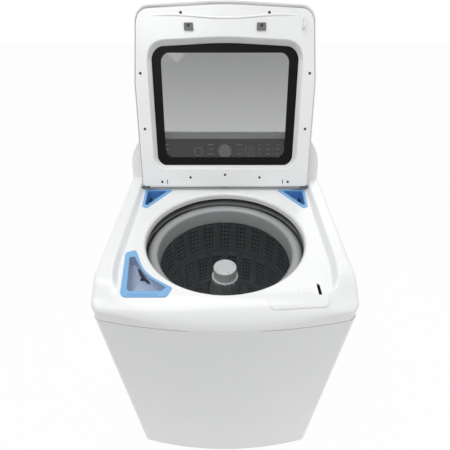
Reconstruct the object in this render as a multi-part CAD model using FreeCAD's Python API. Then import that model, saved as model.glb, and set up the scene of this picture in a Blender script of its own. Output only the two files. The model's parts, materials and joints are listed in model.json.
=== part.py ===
"""Top load washing machine with an agitator, modelled as separate pieces.

Frame: +Z up, the front looks along -Y, +X is the right-hand side seen from the front.
The drawing's own y = 0 lies under the middle of the cabinet's footprint. write_nodes moves it back,
so that the written frame's origin is on the floor under the middle of the machine with its lid open.
The lid is modelled open, leaning back at its stop. Units are millimetres.
"""

import FreeCAD, Part
import math
import os

V = FreeCAD.Vector

# --- cabinet ---------------------------------------------------------------------------------
CABINET_WIDTH = 686.0
FRONT_BOW_Y = -354.0
FRONT_BOW_RADIUS = 1421.0
CABINET_REAR_Y = 342.0
CONSOLE_REAR_Y = 354.0
CABINET_CORNER_RADIUS = 25.0
CABINET_SHEET = 1.5
CABINET_BOTTOM_Z = 20.0
CABINET_TOP_Z = 848.0
CABINET_FLANGE = 22.0
SEAM_GAP = 2.0

# --- deck ------------------------------------------------------------------------------------
DECK_RIM_Z = 930.0
PLATEAU_Z = 913.0
DECK_WALL = 3.0
DECK_EDGE_RADIUS = 13.0
RECESS_HALF_WIDTH = 299.0
RECESS_DRAFT = 5.0
RECESS_FRONT_RADIUS = 430.0
RECESS_CURVE_START_Y = -150.0
WATERFALL_START_Y = -275.0
WATERFALL_RADIUS = 82.0
RECESS_REAR_Y = 262.0
OPENING_Y = -45.0
OPENING_RADIUS = 238.0
LIP_DEPTH = 20.0
LIP_RADIUS = 7.0

# --- console ---------------------------------------------------------------------------------
CONSOLE_TOP_Z = 1070.0
CONSOLE_FACE_LEAN = 24.5
CONSOLE_FACE_Y = 335.7
CONSOLE_FACE_Z = 1050.0
CONSOLE_SHOULDER = 105.0
CONSOLE_WALL = 3.0
FASCIA_HALF_WIDTH = 262.0
FASCIA_BOTTOM_Z = 962.0
FASCIA_THICKNESS = 4.0
CONTROL_Z = 1011.0
KNOB_RADIUS = 24.5
KNOB_HEIGHT = 20.0
START_X = -95.0
START_RADIUS = 11.0
DISPLAY_X = 88.0
OPTION_BUTTON_X = (120.0, 153.0, 187.0)
OPTION_BUTTON_WIDTH = 17.0
OPTION_BUTTON_HEIGHT = 7.0
BUTTON_CLEARANCE = 0.4
BUTTON_PROUD = 1.6
INLET_THREAD_RADIUS = 13.2
INLET_THREAD_LENGTH = 16.0
INLET_SPACING = 76.0
PORT_CLEARANCE = 1.8
DRAIN_RADIUS = 15.5
DRAIN_LENGTH = 24.0

# --- lid -------------------------------------------------------------------------------------
HINGE_Y = 222.0
HINGE_Z = 927.0
LID_OPEN_LEAN = 24.5
LID_THICKNESS = 26.0
LID_HALF_WIDTH = 293.0
LID_LENGTH = 547.6
LID_SHELL = 3.0
LID_SEAM_INSET = 10.0
WINDOW_HALF_WIDTH = 234.5
WINDOW_BOTTOM_S = 73.5
WINDOW_TOP_S = 442.0
WINDOW_CORNER = 38.0
HINGE_PIN_RADIUS = 4.0
HINGE_CLEARANCE = 0.06

# --- tub and basket --------------------------------------------------------------------------
TUB_RADIUS = 266.0
TUB_WALL = 3.5
TUB_BOTTOM_Z = 232.0
TUB_TOP_Z = 852.0
BASKET_RADIUS = 244.0
BASKET_WALL = 1.5
RING_INNER_RADIUS = 207.0
RING_BOTTOM_Z = 812.0
RING_TOP_Z = 867.0
AGITATOR_CAP_RADIUS = 38.3
AGITATOR_TOP_Z = 782.0
AGITATOR_SKIRT_RADIUS = 170.0
VANE_COUNT = 4
VANE_THICKNESS = 7.0

# --- drive -----------------------------------------------------------------------------------
DRIVE_SHAFT_RADIUS = 8.0
SPIN_TUBE_RADIUS = 17.0
SHAFT_CLEARANCE = 0.06
PULLEY_Z = 74.0
PULLEY_WIDTH = 14.0
DRIVE_PULLEY_RADIUS = 92.0
MOTOR_PULLEY_RADIUS = 21.0
MOTOR_OFFSET = (150.0, 0.0)
BELT_CLEARANCE = 0.3
BELT_THICKNESS = 4.0
ROD_RADIUS = 4.5
ROD_OFFSET = 216.0
ROD_BOTTOM_Z = 190.0
LUG_Z = 300.0
LUG_THICKNESS = 14.0
FOOT_RADIUS = 22.0
FOOT_STEM_RADIUS = 6.0

# --- dispensers, hinge, strike ---------------------------------------------------------------
RIM_HEIGHT = 1.6
CUP_WALL = 2.5
CUP_DEPTH = 30.0
CUP_CLEARANCE = 0.3
COVER_HEIGHT = 2.0
DETERGENT_RIM = ((-284, -126, 12), (-263, -293, 18), (-146, -293, 12), (-134, -262, 8),
                 (-216, -208, 150), (-256, -112, 10))
DETERGENT_HOLE = ((-268, -146, 6), (-250, -274, 12), (-162, -274, 6), (-151, -261, 4),
                  (-214, -216, 120), (-254, -142, 6))
TRAY_RIM = ((-285, 219, 5), (-279, 112, 10), (-262, 99, 8), (-184, 219, 6))
TRAY_HOLE = ((-275, 210, 3), (-271, 124, 4), (-263, 118, 4), (-205, 210, 3))
LOCK_COVER = ((287, -134, 24), (256, -316, 14), (112, -324, 16), (108, -288, 28))
CHUTE_PLACE = (-226, -205)
EAR_X = 294.5
EAR_THICKNESS = 4.0
EAR_RADIUS = 8.0
HINGE_INSET = 2.3
HINGE_DEPTH = 8.4
STRIKE_X = 240.0
KNUCKLE_START_X = 268.0
KNUCKLE_WELL_X = 266.0
PIN_START_X = 270.0
BRACKET_INNER_X = 262.0
STRIKE_S = (476.0, 508.0)
STRIKE_THICKNESS = 3.0
STRIKE_HEIGHT = 22.0
STRIKE_CLEARANCE = 2.5
BUMPER_HEIGHT = 5.0
BUMPER_X = 112.0
BUMPER_S = (471.0, 490.0)
BUMPER_HALF_WIDTH = 14.0
LID_SLOT_X = 203.0
LID_SLOT_S = (11.0, 25.0)
COLLAR_DEPTH = 19.0
COLLAR_SPREAD = 11.0
LID_SCREWS = ((135, 517), (271, 354.5), (269, 190), (121, 32.7), (221.5, 17.6))
RECESS_TURN = 31.0
BRACE_THICKNESS = 4.0
ROD_CAP = 6.0
SPRING_WIRE_RADIUS = 1.9
SPRING_PITCH = 15.0
SPRING_RADIUS = 13.0
DRAIN_X = -230.0
DRAIN_Z = CABINET_TOP_Z - 68.0
FASCIA_SINK = 2.5
BOARD_HALF_WIDTH = 205.0
BOARD_DEPTH = 10.0
KNOB_SHAFT_RADIUS = 3.0
BACK_COVER_Y = 345.0
BACK_TOP_Z = 1020.0
BACK_HALF_WIDTH = 300.0
INLET_X = 60.0
INLET_Z = CABINET_TOP_Z - 58.0
GLAND_X = 262.0
GLAND_Z = 952.0
GLAND_RADIUS = 10.0
CORD_BORE_RADIUS = 4.5
LID_EDGE_RADIUS = 7.0
SCREW_HEAD_RADIUS = 3.6
SCREW_HEAD_HEIGHT = 1.6
BEARING_RADIUS = 31.0
SEAL_RADIUS = 24.0
TUB_MOUTH_RADIUS = 247.0
SUPPORT_RADIUS = 200.0
CASE_BOTTOM_Z = 122.0
CASE_RADIUS = 58.0
MOTOR_RADIUS = 60.0
MOTOR_SHAFT_RADIUS = 6.0
PUMP_PLACE = (-150.0, 125.0)
BASE_Z = 276.0
PERFORATION_ROWS = (360.0, 460.0, 560.0, 660.0, 760.0)
PERFORATION_COUNT = 24
AGITATOR_NECK_Z = 452.0
CAP_HEIGHT = 40.0
VANE_START = 20.0

NODES = {}
AXIS = V(0, OPENING_Y, 0)
HALF_WIDTH = CABINET_WIDTH / 2
BOW_CENTRE_Y = FRONT_BOW_Y + FRONT_BOW_RADIUS


# --- helpers ---------------------------------------------------------------------------------
def save(name, *solids):
    """Keep one node; several solids become one compound."""
    NODES[name] = solids[0] if len(solids) == 1 else Part.makeCompound(list(solids))


def write_nodes():
    """Write every node with the origin under the middle of the whole machine, open lid included."""
    overall = Part.makeCompound(list(NODES.values())).optimalBoundingBox(False, False)
    middle_y = round((overall.YMin + overall.YMax) / 2)
    print("origin lies at y =", middle_y, "of the drawing")
    for name, shape in NODES.items():
        moved = shape.copy()
        moved.translate(V(0, -middle_y, 0))
        moved.exportStep(os.path.join("parts", name + ".step"))


def box(x0, x1, y0, y1, z0, z1):
    return Part.makeBox(x1 - x0, y1 - y0, z1 - z0, V(x0, y0, z0))


def rod(radius, z0, z1, centre=AXIS):
    return Part.makeCylinder(radius, z1 - z0, V(centre.x, centre.y, z0))


def tube(outer, inner, z0, z1, centre=AXIS):
    return rod(outer, z0, z1, centre).cut(rod(inner, z0, z1, centre))


def turned(profile, centre=AXIS):
    """Spin a closed list of (radius, z) points round a vertical axis."""
    points = [V(centre.x + r, centre.y, z) for r, z in profile]
    face = Part.Face(Part.makePolygon(points + points[:1]))
    return face.revolve(V(centre.x, centre.y, 0), V(0, 0, 1), 360)


def prism(points, z0, z1):
    """Extrude a closed list of (x, y) points."""
    corners = [V(x, y, z0) for x, y in points]
    return Part.Face(Part.makePolygon(corners + corners[:1])).extrude(V(0, 0, z1 - z0))


def side_prism(points, x0, x1):
    """Extrude a closed list of (y, z) points along X."""
    corners = [V(x0, y, z) for y, z in points]
    return Part.Face(Part.makePolygon(corners + corners[:1])).extrude(V(x1 - x0, 0, 0))


def vertical_edges(shape, test=lambda point: True):
    """Straight edges along Z whose middle passes the test."""
    found = []
    for edge in shape.Edges:
        run = edge.Vertexes[-1].Point - edge.Vertexes[0].Point
        upright = abs(run.x) + abs(run.y) < 0.01 and abs(run.z) > 0.01
        if upright and test(edge.CenterOfMass):
            found.append(edge)
    return found


def round_corners(shape, radius, test=lambda point: True):
    return shape.makeFillet(radius, vertical_edges(shape, test))


def fuse(shapes):
    body = shapes[0]
    for other in shapes[1:]:
        body = body.fuse(other)
    return body.removeSplitter()


def cut_all(body, tools):
    for tool in tools:
        body = body.cut(tool)
    return body


def mirrored(shape):
    return shape.mirror(V(0, 0, 0), V(1, 0, 0))


def bowed_block(inset, z0, z1, rear_y=CABINET_REAR_Y):
    """A block with the cabinet's bowed front, drawn in by an inset all round but the rear."""
    half = HALF_WIDTH - inset
    block = box(-half, half, FRONT_BOW_Y - 5, rear_y, z0, z1)
    bow = Part.makeCylinder(FRONT_BOW_RADIUS - inset, z1 - z0, V(0, BOW_CENTRE_Y, z0))
    radius = max(CABINET_CORNER_RADIUS - inset, 2.0)
    return round_corners(block.common(bow), radius, lambda p: p.y < 0)


def outline(corners, z=0.0):
    """A closed wire through (x, y, radius) corners, each rounded by a tangent arc."""
    points = [V(x, y, z) for x, y, _ in corners]
    count = len(points)
    edges = []
    entries = []
    exits = []
    middles = []
    for index, (_, _, radius) in enumerate(corners):
        corner = points[index]
        back = (points[index - 1] - corner).normalize()
        ahead = (points[(index + 1) % count] - corner).normalize()
        half = back.getAngle(ahead) / 2
        reach = radius / math.tan(half)
        bisector = (back + ahead).normalize()
        entries.append(corner + back * reach)
        exits.append(corner + ahead * reach)
        middles.append(corner + bisector * (radius / math.sin(half) - radius))
    for index in range(count):
        edges.append(Part.Arc(entries[index], middles[index], exits[index]).toShape())
        edges.append(Part.LineSegment(exits[index], entries[(index + 1) % count]).toShape())
    return Part.Wire(edges)


def slab(corners, z0, z1, grow=0.0):
    """Extrude a rounded outline between two heights, grown all round by an offset."""
    face = Part.Face(outline(corners, z0))
    if grow:
        face = face.makeOffset2D(grow)
    return face.extrude(V(0, 0, z1 - z0))


def funnel(corners_low, z_low, corners_high, z_high):
    """A solid between two rounded outlines with the same number of corners."""
    return Part.makeLoft([outline(corners_low, z_low), outline(corners_high, z_high)], True, True)


def flipped(corners):
    """The same outline on the other side of the machine."""
    return [(-x, y, radius) for x, y, radius in corners]


def placed(shape, placement):
    """A copy of a locally drawn shape at its place in the machine."""
    copy = shape.copy()
    copy.Placement = placement.multiply(copy.Placement)
    return copy


# --- cabinet ---------------------------------------------------------------------------------
def make_cabinet():
    inner_rear = CABINET_REAR_Y - 2 * CABINET_SHEET
    shell = bowed_block(0, CABINET_BOTTOM_Z, CABINET_TOP_Z, CABINET_REAR_Y - CABINET_SHEET)
    hollow = bowed_block(CABINET_SHEET, CABINET_BOTTOM_Z - 1, CABINET_TOP_Z - CABINET_SHEET, inner_rear)
    mouth = bowed_block(CABINET_FLANGE, CABINET_TOP_Z - 10, CABINET_TOP_Z + 1, inner_rear - CABINET_FLANGE)
    reach = HALF_WIDTH - CABINET_FLANGE
    rear_mouth = box(-reach, reach, inner_rear - 5, CABINET_REAR_Y, CABINET_BOTTOM_Z - 1, CABINET_TOP_Z - 30)
    save("cabinet_wrap", cut_all(shell, [hollow, mouth, rear_mouth]))

    edge = HALF_WIDTH - CABINET_SHEET
    inside_y = CABINET_REAR_Y - CABINET_SHEET
    panel = box(-edge, edge, inside_y, CABINET_REAR_Y, CABINET_BOTTOM_Z + 2, CABINET_TOP_Z - 2)
    cover = box(-150, 150, CABINET_REAR_Y, CABINET_REAR_Y + 1.2, 120, 420)
    low_y = CABINET_REAR_Y - 10
    high_y = CABINET_REAR_Y + 10
    holes = [along_y(DRAIN_RADIUS + PORT_CLEARANCE, DRAIN_X, DRAIN_Z, low_y, high_y)]
    for x in inlet_places():
        holes.append(along_y(INLET_THREAD_RADIUS + PORT_CLEARANCE, x, INLET_Z, low_y, high_y))
    save("rear_panel", cut_all(fuse([panel, cover]), holes))


def make_drain_outlet():
    inside_y = CABINET_REAR_Y - CABINET_SHEET
    end_y = CONSOLE_REAR_Y - 1
    pipe = along_y(DRAIN_RADIUS, DRAIN_X, DRAIN_Z, end_y - DRAIN_LENGTH, end_y)
    flange = along_y(DRAIN_RADIUS + 7, DRAIN_X, DRAIN_Z, inside_y - 3, inside_y)
    bore = along_y(DRAIN_RADIUS - 2.5, DRAIN_X, DRAIN_Z, end_y - DRAIN_LENGTH - 1, end_y + 1)
    save("drain_outlet", pipe.fuse(flange).cut(bore))


def along_y(radius, x, z, y0, y1):
    """A cylinder lying front to back."""
    return Part.makeCylinder(radius, y1 - y0, V(x, y0, z), V(0, 1, 0))


def foot_places():
    side = HALF_WIDTH - 48
    front = FRONT_BOW_Y + 92
    rear = CABINET_REAR_Y - 48
    return (V(-side, front, 0), V(side, front, 0), V(-side, rear, 0), V(side, rear, 0))


def make_base():
    rail = 43.0
    frame_rear = CABINET_REAR_Y - 4
    plate = bowed_block(CABINET_SHEET, CABINET_BOTTOM_Z, CABINET_BOTTOM_Z + 3, frame_rear)
    web = bowed_block(rail, CABINET_BOTTOM_Z, CABINET_BOTTOM_Z + 32, frame_rear - rail)
    inner = bowed_block(rail + 3, CABINET_BOTTOM_Z - 1, CABINET_BOTTOM_Z + 40, frame_rear - rail - 3)
    bosses = [rod(16, CABINET_BOTTOM_Z, CABINET_BOTTOM_Z + 22, centre) for centre in foot_places()]
    bores = [rod(FOOT_STEM_RADIUS + 0.3, 0, 90, centre) for centre in foot_places()]
    frame = fuse([plate, web]).cut(inner)
    save("base_frame", cut_all(fuse([frame] + bosses), bores))

    feet = []
    for centre in foot_places():
        profile = [(0, 0), (FOOT_RADIUS - 2, 0), (FOOT_RADIUS, 2), (FOOT_RADIUS, 8), (12, 12)]
        profile += [(12, CABINET_BOTTOM_Z - 0.2), (FOOT_STEM_RADIUS, CABINET_BOTTOM_Z - 0.2)]
        profile += [(FOOT_STEM_RADIUS, CABINET_BOTTOM_Z + 36), (0, CABINET_BOTTOM_Z + 36)]
        feet.append(turned(profile, centre))
    save("levelling_feet", *feet)


def make_corner_braces():
    top = CABINET_TOP_Z - CABINET_SHEET
    plate = bowed_block(CABINET_SHEET, top - BRACE_THICKNESS, top, CABINET_REAR_Y - 2 * CABINET_SHEET)
    plate = plate.cut(rod(TUB_RADIUS + 18, top - 20, top + 5))
    plate = plate.cut(box(-HALF_WIDTH, HALF_WIDTH, OPENING_Y - 110, OPENING_Y + 110, top - 20, top + 5))
    plate = plate.cut(box(-170, 170, FRONT_BOW_Y - 5, CABINET_REAR_Y, top - 20, top + 5))
    holes = [rod(ROD_RADIUS + 0.4, top - 20, top + 5, centre) for centre in rod_places()]
    save("corner_braces", *cut_all(plate, holes).Solids)


def rod_places():
    signs = ((-1, -1), (1, -1), (-1, 1), (1, 1))
    return [V(sx * ROD_OFFSET, OPENING_Y + sy * ROD_OFFSET, 0) for sx, sy in signs]


def make_suspension():
    top = CABINET_TOP_Z - CABINET_SHEET
    rods = []
    springs = []
    low = ROD_BOTTOM_Z + ROD_CAP
    high = LUG_Z - LUG_THICKNESS / 2
    for centre in rod_places():
        profile = [(0, ROD_BOTTOM_Z), (18, ROD_BOTTOM_Z), (18, low), (ROD_RADIUS, low), (ROD_RADIUS, top)]
        profile += [(11, top), (11, top + 3), (6, top + 7), (0, top + 7)]
        rods.append(turned(profile, centre))
        springs.append(coil_spring(centre, low, high))
    save("suspension_rods", *rods)
    save("suspension_springs", *springs)


def coil_spring(centre, low, high):
    """A round-wire helix that just touches its two seats."""
    height = high - low - 2 * SPRING_WIRE_RADIUS - 0.1
    helix = Part.makeHelix(SPRING_PITCH, height, SPRING_RADIUS)
    circle = Part.makeCircle(SPRING_WIRE_RADIUS, V(SPRING_RADIUS, 0, 0), V(0, 1, 0))
    wire = Part.Wire(helix.Edges).makePipeShell([Part.Wire(circle)], True, True)
    wire.translate(V(centre.x, centre.y, low + SPRING_WIRE_RADIUS + 0.05))
    return wire


# --- deck ------------------------------------------------------------------------------------
def recess_outline(offset, z):
    """Plan of the lid recess at one height: straight sides that curve in towards the open front."""
    half = RECESS_HALF_WIDTH + offset
    radius = RECESS_FRONT_RADIUS + offset
    turn = math.radians(RECESS_TURN)
    centre_x = half - radius

    def on_arc(angle, side):
        x = side * (centre_x + radius * math.cos(angle))
        return V(x, RECESS_CURVE_START_Y - radius * math.sin(angle), z)

    rear_y = RECESS_REAR_Y + offset
    right = V(half, RECESS_CURVE_START_Y, z)
    left = V(-half, RECESS_CURVE_START_Y, z)
    edges = [Part.LineSegment(V(half, rear_y, z), right).toShape()]
    edges.append(Part.Arc(right, on_arc(turn / 2, 1), on_arc(turn, 1)).toShape())
    edges.append(Part.LineSegment(on_arc(turn, 1), on_arc(turn, -1)).toShape())
    edges.append(Part.Arc(on_arc(turn, -1), on_arc(turn / 2, -1), left).toShape())
    edges.append(Part.LineSegment(left, V(-half, rear_y, z)).toShape())
    edges.append(Part.LineSegment(V(-half, rear_y, z), V(half, rear_y, z)).toShape())
    return Part.Wire(edges)


def above_plateau(drop):
    """Everything above the plateau and the waterfall that rolls off it, both lowered by a drop."""
    level = PLATEAU_Z - drop
    radius = WATERFALL_RADIUS - drop
    centre_z = PLATEAU_Z - WATERFALL_RADIUS

    def on_roll(degrees):
        angle = math.radians(degrees)
        return V(0, WATERFALL_START_Y - radius * math.sin(angle), centre_z + radius * math.cos(angle))

    start = V(0, WATERFALL_START_Y, level)
    rear = V(0, RECESS_REAR_Y + 60, level)
    top_z = DECK_RIM_Z + 60
    front_y = FRONT_BOW_Y - 60
    end = on_roll(82)
    corners = [rear, V(0, rear.y, top_z), V(0, front_y, top_z), V(0, front_y, end.z), end]
    edges = [Part.LineSegment(a, b).toShape() for a, b in zip(corners, corners[1:])]
    edges.append(Part.Arc(end, on_roll(41), start).toShape())
    edges.append(Part.LineSegment(start, rear).toShape())
    face = Part.Face(Part.Wire(edges))
    face.translate(V(-HALF_WIDTH - 20, 0, 0))
    return face.extrude(V(CABINET_WIDTH + 40, 0, 0))


def recess_tool(drop):
    """The space of the lid recess; a drop gives the underside of a wall of that thickness."""
    slope = RECESS_DRAFT / (DECK_RIM_Z - PLATEAU_Z)
    low = -90.0
    high = 40.0
    wide = recess_outline(slope * high + drop, PLATEAU_Z + high)
    narrow = recess_outline(slope * low + drop, PLATEAU_Z + low)
    return Part.makeLoft([narrow, wide], True, True).common(above_plateau(drop))


def level_edges(shape, z):
    """Edges that lie flat at one height."""
    return [e for e in shape.Edges if e.BoundBox.ZMin > z - 0.01 and e.BoundBox.ZMax < z + 0.01]


def rounded_deck_block(inset, bottom):
    top = DECK_RIM_Z - inset
    block = bowed_block(inset, bottom, top, CABINET_REAR_Y - inset)
    return block.makeFillet(DECK_EDGE_RADIUS - inset, level_edges(block, top))


def make_deck():
    bottom = CABINET_TOP_Z + SEAM_GAP
    outer = rounded_deck_block(0, bottom)
    inner = rounded_deck_block(DECK_WALL, bottom - 1)
    recess = recess_tool(0)
    deck = outer.cut(recess).cut(inner.cut(recess_tool(DECK_WALL)))
    lip = tube(OPENING_RADIUS + LIP_RADIUS, OPENING_RADIUS, PLATEAU_Z - LIP_DEPTH, PLATEAU_Z - DECK_WALL / 2)
    deck = deck.fuse(lip).cut(turned(mouth_profile()))
    ledge_rear = CABINET_REAR_Y - DECK_WALL
    ledge = bowed_block(DECK_WALL, CABINET_TOP_Z, bottom + 8, ledge_rear)
    ledge = ledge.cut(bowed_block(DECK_WALL + 4, CABINET_TOP_Z - 1, bottom + 9, ledge_rear - 4))
    deck = deck.fuse(ledge)
    grown = CUP_WALL + CUP_CLEARANCE
    low = PLATEAU_Z - 40
    high = PLATEAU_Z + 9
    tools = [slab(DETERGENT_HOLE, low, high, grown), slab(TRAY_HOLE, low, high, grown)]
    tools += [slab(flipped(TRAY_HOLE), low, high, grown), slot_block(1, low, high)]
    tools += [ear_slot(-1), ear_slot(1)]
    save("top_deck", cut_all(deck, tools).removeSplitter())


def mouth_profile():
    """The rolled mouth of the deck: a quarter round from the plateau down to a short straight lip."""
    profile = [(0, PLATEAU_Z + 5), (OPENING_RADIUS + LIP_RADIUS, PLATEAU_Z + 5)]
    steps = 8
    for step in range(steps + 1):
        angle = math.radians(90 * step / steps)
        radius = OPENING_RADIUS + LIP_RADIUS * (1 - math.sin(angle))
        profile.append((radius, PLATEAU_Z - LIP_RADIUS + LIP_RADIUS * math.cos(angle)))
    return profile + [(OPENING_RADIUS, PLATEAU_Z - LIP_DEPTH - 1), (0, PLATEAU_Z - LIP_DEPTH - 1)]


def slot_block(extra, z0, z1):
    """The slot that the lid's strike drops into, grown by a clearance."""
    half = STRIKE_THICKNESS / 2 + STRIKE_CLEARANCE + extra
    low_y, high_y = strike_span()
    reach = STRIKE_CLEARANCE + extra
    return box(STRIKE_X - half, STRIKE_X + half, low_y - reach, high_y + reach, z0, z1)


def strike_span():
    """Where the strike lies front to back when the lid is shut."""
    rear_edge = HINGE_Y + HINGE_INSET
    return rear_edge - STRIKE_S[1], rear_edge - STRIKE_S[0]


def ear_slot(side):
    x0, x1 = sorted((side * (EAR_X - 0.2), side * (EAR_X + EAR_THICKNESS + 0.2)))
    return box(x0, x1, HINGE_Y - EAR_RADIUS - 0.3, HINGE_Y + EAR_RADIUS + 0.3, PLATEAU_Z - 12, PLATEAU_Z + 1)


def make_dispensers():
    seat = PLATEAU_Z
    rim = slab(DETERGENT_RIM, seat - 8, seat + RIM_HEIGHT)
    rim = rim.makeFillet(RIM_HEIGHT * 0.6, level_edges(rim, seat + RIM_HEIGHT)).common(above_plateau(0))
    save("detergent_rim", rim.cut(slab(DETERGENT_HOLE, seat - 20, seat + 9)))
    chute = V(CHUTE_PLACE[0], CHUTE_PLACE[1], 0)
    wall = slab(DETERGENT_HOLE, seat - CUP_DEPTH, seat - RIM_HEIGHT, CUP_WALL)
    spout = rod(9, seat - CUP_DEPTH - 16, seat - CUP_DEPTH, chute)
    cavity = slab(DETERGENT_HOLE, seat - CUP_DEPTH + CUP_WALL, seat + 1)
    save("detergent_cup", cut_all(wall.fuse(spout), [cavity, rod(6.5, seat - CUP_DEPTH - 17, seat, chute)]))
    for name, side in (("bleach", -1), ("softener", 1)):
        corners = TRAY_RIM if side < 0 else flipped(TRAY_RIM)
        hole = TRAY_HOLE if side < 0 else flipped(TRAY_HOLE)
        rim = slab(corners, seat, seat + RIM_HEIGHT)
        rim = rim.makeFillet(RIM_HEIGHT * 0.6, level_edges(rim, seat + RIM_HEIGHT))
        save(name + "_rim", rim.cut(slab(hole, seat - 1, seat + 9)))
        tray = slab(hole, seat - CUP_DEPTH, seat, CUP_WALL)
        save(name + "_cup", tray.cut(slab(hole, seat - CUP_DEPTH + CUP_WALL, seat + 1)))


def make_lid_lock():
    cover = slab(LOCK_COVER, PLATEAU_Z - 50, PLATEAU_Z + 9)
    cover = cover.common(above_plateau(0)).cut(above_plateau(-COVER_HEIGHT))
    save("lid_lock_cover", cover.cut(slot_block(0, PLATEAU_Z - 60, PLATEAU_Z + 9)))
    low_y, high_y = strike_span()
    under = PLATEAU_Z - DECK_WALL
    case = box(STRIKE_X - 22, STRIKE_X + 16, low_y - 10, high_y + 8, under - 42, under - 6)
    pad = box(STRIKE_X - 22, STRIKE_X - 8, high_y - 14, high_y + 8, under - 6, under)
    slot = slot_block(0, under - STRIKE_HEIGHT - 12, PLATEAU_Z + 9)
    save("lid_lock_module", fuse([case, pad]).cut(slot))


def make_hinge_brackets():
    ear_z = PLATEAU_Z - DECK_WALL - 3.5
    ear = Part.makeCylinder(EAR_RADIUS, EAR_THICKNESS, V(EAR_X, HINGE_Y, HINGE_Z), V(1, 0, 0))
    post = box(EAR_X, EAR_X + EAR_THICKNESS, HINGE_Y - EAR_RADIUS, HINGE_Y + EAR_RADIUS, ear_z, HINGE_Z)
    outer_x = EAR_X + EAR_THICKNESS
    foot_z = PLATEAU_Z - DECK_WALL
    foot = box(BRACKET_INNER_X, outer_x, HINGE_Y - EAR_RADIUS, HINGE_Y + 20, ear_z, foot_z)
    pin_end = V(PIN_START_X, HINGE_Y, HINGE_Z)
    pin = Part.makeCylinder(HINGE_PIN_RADIUS, EAR_X - PIN_START_X + 1, pin_end, V(1, 0, 0))
    bracket = fuse([ear, post, foot, pin])
    save("hinge_bracket_right", bracket)
    save("hinge_bracket_left", mirrored(bracket))


# --- console ---------------------------------------------------------------------------------
def face_y(z):
    """Depth of the console's leaning face at one height."""
    return CONSOLE_FACE_Y - (CONSOLE_FACE_Z - z) * math.tan(math.radians(CONSOLE_FACE_LEAN))


def face_place(x, z):
    """Local X right, local Y up the face, local Z out of it."""
    turn = FreeCAD.Rotation(V(1, 0, 0), 90 - CONSOLE_FACE_LEAN)
    return FreeCAD.Placement(V(x, face_y(z), z), turn)


def console_block(inset, base=DECK_RIM_Z):
    """The console's wedge with rounded shoulders, drawn in by an inset all round but the base."""
    lean = math.radians(CONSOLE_FACE_LEAN)
    shift = inset / math.cos(lean)
    top = CONSOLE_TOP_Z - inset
    rear = CONSOLE_REAR_Y - inset
    half = HALF_WIDTH - 4 - inset
    section = [(face_y(base) + shift, base), (face_y(top) + shift, top), (rear, top), (rear, base)]
    wedge = side_prism(section, -half, half)
    ends = [V(-half, 0, base), V(-half, 0, top), V(half, 0, top), V(half, 0, base)]
    plate = Part.Face(Part.makePolygon(ends + ends[:1])).extrude(V(0, CONSOLE_REAR_Y + 60, 0))
    corners = []
    for edge in plate.Edges:
        along_depth = edge.BoundBox.YLength > 1 and edge.BoundBox.ZLength < 0.1
        if along_depth and edge.CenterOfMass.z > top - 1:
            corners.append(edge)
    return wedge.common(plate.makeFillet(CONSOLE_SHOULDER - inset, corners))


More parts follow.
